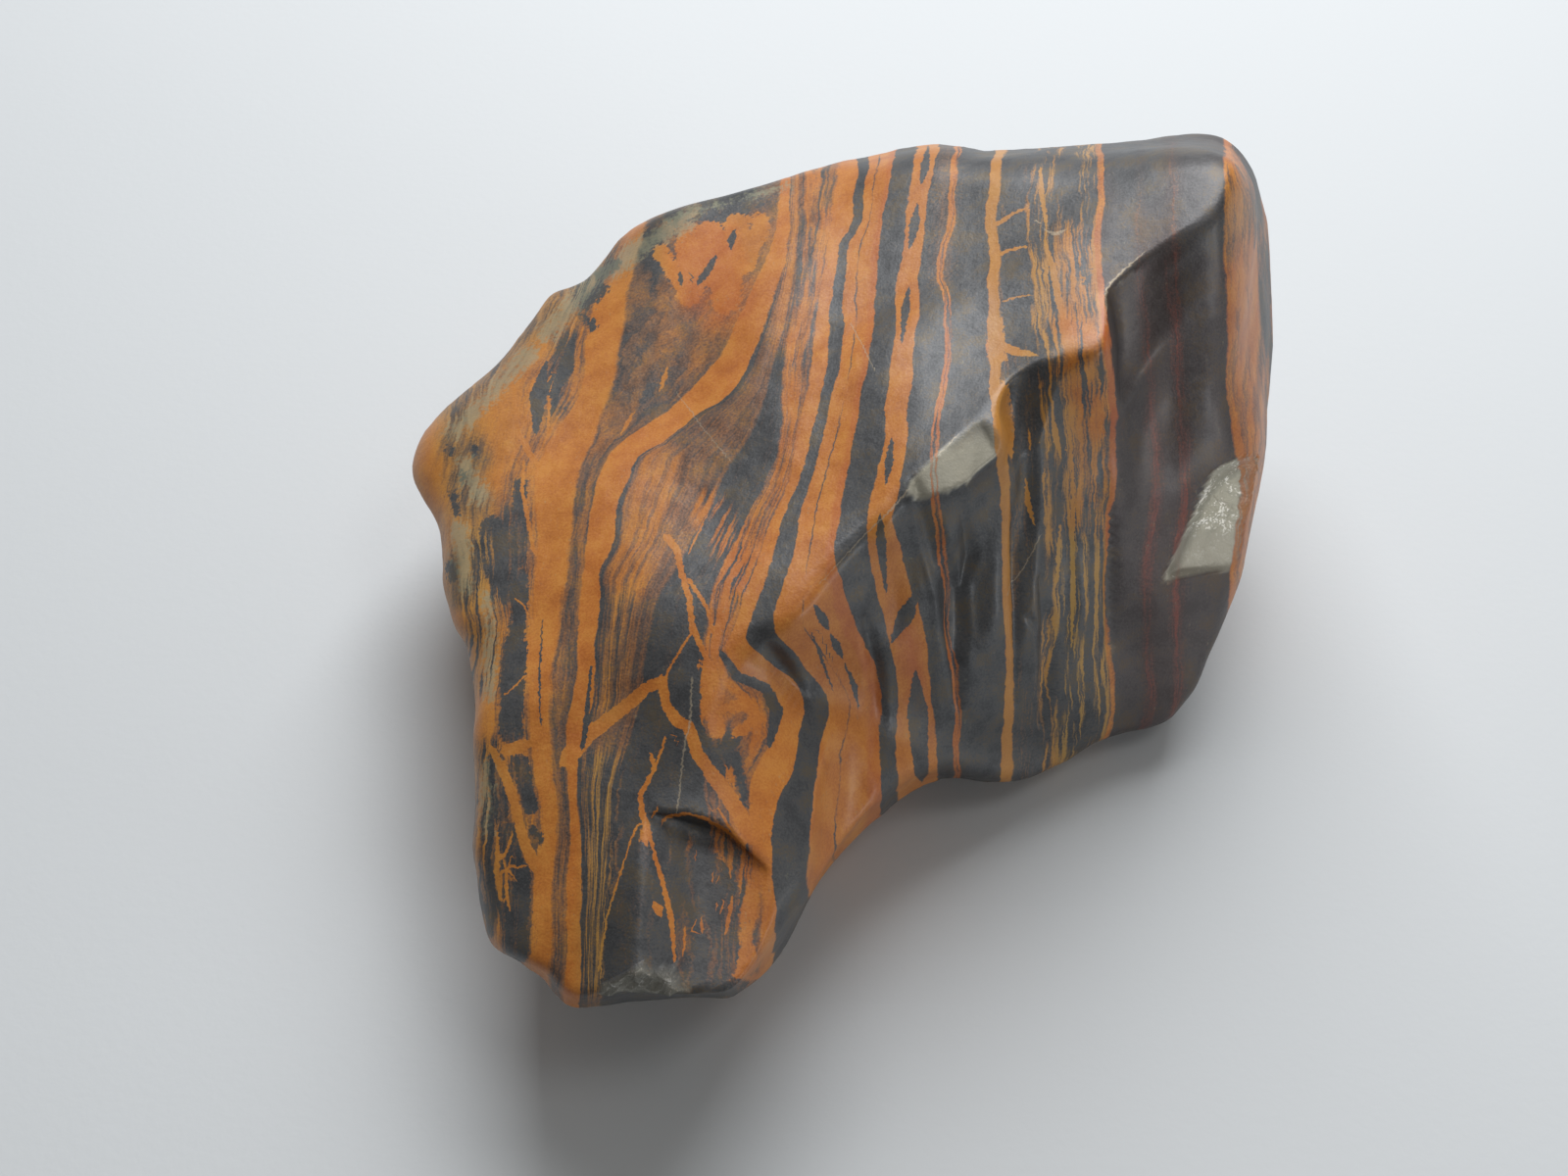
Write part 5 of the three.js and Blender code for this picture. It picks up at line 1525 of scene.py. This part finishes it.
def tiger_iron():
    """Tiger iron worn smooth by water: dull steel-grey haematite with a low sheen, and jasper and
    tiger's eye in ochre, brick red and straw yellow, slightly glossier and not metallic."""
    material, tree = empty_material("tiger_iron_water_smoothed")
    where, drift, stain = [
        add(tree, "ShaderNodeAttribute", out="Vector", attribute_name=name)
        for name in ("place", "drift", "stain")
    ]
    sheets, tear, rim_sage = [
        add(tree, "ShaderNodeAttribute", out="Fac", attribute_name=name)
        for name in ("sheets", "tear", "rim_sage")
    ]
    at = add(tree, "ShaderNodeSeparateXYZ", {0: where}).node.outputs
    U = wandered(tree, where, at["X"])
    bands = bands_across(tree, U, at["Y"])
    bands, drifts, stains = [
        add(tree, "ShaderNodeSeparateXYZ", {0: value}).node.outputs
        for value in (bands, drift, stain)
    ]

    # Ochre share of the bands, streaked by threads that wander with the seams.
    sway = add(tree, "ShaderNodeMath", {0: U, 1: at["X"]}, operation="SUBTRACT")
    across = add(tree, "ShaderNodeMath", {0: sheets, 1: sway}, operation="ADD")
    threads = thread_streaks(tree, across, at["Y"], at["Z"])
    strength = add(tree, "ShaderNodeMath", {0: bands["Y"], 1: drifts["Y"]}, operation="ADD")
    streaky = add(tree, "ShaderNodeMath", {0: threads, 1: 0.5}, operation="SUBTRACT")
    swing = add(tree, "ShaderNodeMath", {0: streaky, 1: strength}, operation="MULTIPLY")
    share = add(tree, "ShaderNodeMath", {0: bands["X"], 1: drifts["X"]}, operation="ADD")
    ochre = add(
        tree, "ShaderNodeMath", {0: swing, 1: THREAD_CONTRAST, 2: share},
        operation="MULTIPLY_ADD", use_clamp=True,
    )

    # Stains and veins with ragged edges.
    rag = add(tree, "ShaderNodeTexNoise", {"Vector": where, "Scale": RAG_RATE, "Detail": 3.0})
    rag = add(tree, "ShaderNodeMath", {0: rag, 1: 0.5}, operation="SUBTRACT")
    fray = add(
        tree, "ShaderNodeMath", {0: streaky, 1: RAG_THREADS, 2: rag}, operation="MULTIPLY_ADD"
    )
    faint = add(tree, "ShaderNodeMath", {0: streaky, 1: drifts["Y"]}, operation="MULTIPLY")
    faint = add(
        tree, "ShaderNodeMath", {0: faint, 1: DARK_STAIN_THREADS, 2: DARK_STAIN},
        operation="MULTIPLY_ADD",
    )
    ochre = stained(tree, ochre, stains, fray, faint)
    ochre, pale = veined(tree, ochre, rag)

    # Colour: haematite and jasper, then sage streaks, pale hairlines with painted crest highlights,
    # and fresh breaks, pale partly by painted sheen, with painted glints, on top.
    cloud = add(tree, "ShaderNodeTexNoise", {"Vector": where, "Scale": CLOUD_RATE, "Detail": 4.0})
    grain = add(tree, "ShaderNodeTexNoise", {"Vector": where, "Scale": GRAIN_RATE, "Detail": 3.0})
    blend = add(tree, "ShaderNodeMix", {0: GRAIN_SHARE, 2: cloud, 3: grain})
    tone = add(tree, "ShaderNodeMath", {0: bands["Z"], 1: drifts["Z"]}, operation="ADD")
    iron, jasper = mineral_colours(tree, tone, blend)
    grit = add(tree, "ShaderNodeMath", {0: grain, 1: 0.5}, operation="SUBTRACT")
    ochre = add(
        tree, "ShaderNodeMath", {0: grit, 1: GRAIN_SHARE, 2: ochre}, operation="MULTIPLY_ADD"
    )
    ochre = add(
        tree, "ShaderNodeMapRange",
        {"Value": ochre, "From Min": MINERAL_EDGE[0], "From Max": MINERAL_EDGE[1]},
        interpolation_type="SMOOTHSTEP",
    )
    rim_sage = add(tree, "ShaderNodeMath", {0: fray, 1: SAGE_RAG, 2: rim_sage}, operation="MULTIPLY_ADD")
    rim_sage = add(
        tree, "ShaderNodeMapRange",
        {
            "Value": rim_sage, "From Min": SAGE_EDGE[0], "From Max": SAGE_EDGE[1],
            "To Max": SAGE_SHARE,
        },
        interpolation_type="SMOOTHSTEP",
    )
    torn = add(tree, "ShaderNodeTexNoise", {"Vector": where, "Scale": TEAR_RATE, "Detail": 5.0})
    # Mask of the bare breaks: their paleness, partly painted sheen and glints, less where it is
    # jasper.
    bare_break_and_sheen = add(
        tree, "ShaderNodeMath", {0: ochre, 1: -JASPER_KEPT, 2: 1.0}, operation="MULTIPLY_ADD"
    )
    bare_break_and_sheen = add(tree, "ShaderNodeMath", {0: bare_break_and_sheen, 1: stains["Z"]}, operation="MULTIPLY")
    colour = iron
    for mask, over in (
        (ochre, jasper), (rim_sage, linear(SAGE_GREY)), (pale, linear(PALE_QUARTZ_AND_HIGHLIGHT)),
        (bare_break_and_sheen, fracture_and_sheen_colour(tree, torn, grain, tear)),
    ):
        colour = add(
            tree, "ShaderNodeMix", {0: mask, 6: colour, 7: over}, out=2, data_type="RGBA"
        )

    # Relief too fine for the mesh: ripple, grain, threads and the tears of fresh breaks.
    ripple = add(tree, "ShaderNodeTexNoise", {"Vector": where, "Scale": RIPPLE_RATE, "Detail": 3.0})
    heights = add(tree, "ShaderNodeMath", {0: ripple, 1: RIPPLE_TALL}, operation="MULTIPLY")
    torn = add(tree, "ShaderNodeMath", {0: torn, 1: tear}, operation="MULTIPLY")
    for source, tall in ((grain, GRAIN_TALL), (threads, THREAD_TALL), (torn, TEAR_TALL)):
        heights = add(
            tree, "ShaderNodeMath", {0: source, 1: tall, 2: heights}, operation="MULTIPLY_ADD"
        )
    normal = add(tree, "ShaderNodeBump", {"Height": heights, "Strength": 1.0, "Distance": MM})

    roughness = add(
        tree, "ShaderNodeMapRange",
        {"Value": ochre, "To Min": IRON_ROUGHNESS, "To Max": OCHRE_ROUGHNESS},
    )
    metallic = add(
        tree, "ShaderNodeMapRange", {"Value": ochre, "To Min": IRON_METALLIC, "To Max": 0.0}
    )
    shader = add(
        tree, "ShaderNodeBsdfPrincipled",
        {
            "Base Color": colour, "Roughness": roughness, "Metallic": metallic,
            "Normal": normal, "IOR": QUARTZ_IOR, "Coat Weight": POLISH,
            "Coat Roughness": POLISH_ROUGHNESS,
        },
    )
    add(tree, "ShaderNodeOutputMaterial", {"Surface": shader})
    return material


def floor_paper():
    """Matt studio paper: an even pale grey with no pattern of its own beyond a faint tooth."""
    material, tree = empty_material("matt_studio_paper")
    where = add(tree, "ShaderNodeTexCoord", out="Object")
    tooth = add(tree, "ShaderNodeTexNoise", {"Vector": where, "Scale": TOOTH_RATE, "Detail": 2.0})
    normal = add(tree, "ShaderNodeBump", {"Height": tooth, "Strength": 0.2, "Distance": TOOTH_TALL})
    shader = add(
        tree, "ShaderNodeBsdfPrincipled",
        {"Base Color": linear(PAPER), "Roughness": PAPER_ROUGHNESS, "Normal": normal},
    )
    add(tree, "ShaderNodeOutputMaterial", {"Surface": shader})
    return material


# ---------------------------------------------------------------------------
# Stage, light and camera, in metres
# ---------------------------------------------------------------------------
FLOOR_HALF = 1.5
FLOOR_SINK = -0.05 * MM  # just under the resting patch, so that the two don't share a plane

# Square soft lights: name, direction from the stone, size, power, colour.
LIGHTS = [
    ("key", (0.08, 0.67, 0.74), 0.5, 5.1, (0.98, 0.99, 1.0)),
    ("overhead", (0.37, -0.24, 0.9), 0.16, 0.3, (1.0, 0.99, 0.97)),
    ("front", (0.8, -0.55, 0.2), 0.1, 0.35, (0.9, 0.95, 1.0)),
    ("side", (0.92, -0.35, 0.22), 0.1, 0.3, (1.0, 0.98, 0.94)),
]
LIGHT_DISTANCE = 0.6
LIGHT_TARGET = np.array([0, 0, 0.03])
SURROUND = (1.0, 0.97, 0.93, 1.0)
SURROUND_STRENGTH = 0.19
SENSOR_WIDTH = 36.0  # in millimetres
FRAME_WIDTH = 160.0  # width of the plane w = 0 that the camera sees, in millimetres


def add_stage():
    """One flat sheet of paper under the stone."""
    mesh = bpy.data.meshes.new("floor")
    signs = ((-1, -1), (1, -1), (1, 1), (-1, 1))
    corners = [(x * FLOOR_HALF, y * FLOOR_HALF, FLOOR_SINK) for x, y in signs]
    mesh.from_pydata(corners, [], [(0, 1, 2, 3)])
    floor = bpy.data.objects.new("floor", mesh)
    floor.data.materials.append(floor_paper())
    bpy.context.collection.objects.link(floor)


def add_softbox(name, direction, size, power, colour):
    """A square soft light that faces the stone from a direction."""
    data = bpy.data.lights.new(name, "AREA")
    data.size, data.energy, data.color = size, power, colour
    lamp = bpy.data.objects.new(name, data)
    bpy.context.collection.objects.link(lamp)
    spot = LIGHT_TARGET + unit(np.array(direction)) * LIGHT_DISTANCE
    lamp.location = spot
    lamp.rotation_euler = Vector(LIGHT_TARGET - spot).to_track_quat("-Z", "Y").to_euler()


def add_world():
    """An even, slightly warm surround."""
    world = bpy.data.worlds.new("soft_surround")
    world.use_nodes = True
    background = world.node_tree.nodes["Background"]
    background.inputs["Color"].default_value = SURROUND
    background.inputs["Strength"].default_value = SURROUND_STRENGTH
    bpy.context.scene.world = world


def add_camera():
    """Camera at the eye point, looking straight down the w axis at the plane w = 0."""
    data = bpy.data.cameras.new("camera")
    data.sensor_width = SENSOR_WIDTH
    data.lens = SENSOR_WIDTH * EYE_DISTANCE / FRAME_WIDTH
    camera = bpy.data.objects.new("camera", data)
    axes = np.stack([turned_back(axis) for axis in np.eye(3)], axis=1)
    turn = Matrix(axes.tolist()).to_4x4()
    spot = to_part(np.array([0.0, 0.0, EYE_DISTANCE]))
    camera.matrix_world = Matrix.Translation(spot) @ turn
    bpy.context.collection.objects.link(camera)
    bpy.context.scene.camera = camera


stone = make_stone()
stone.data.materials.append(tiger_iron())
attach(stone, "root")
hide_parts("stone")

add_stage()
add_world()
for light in LIGHTS:
    add_softbox(*light)
add_camera()
bpy.context.scene.view_settings.view_transform = "Standard"
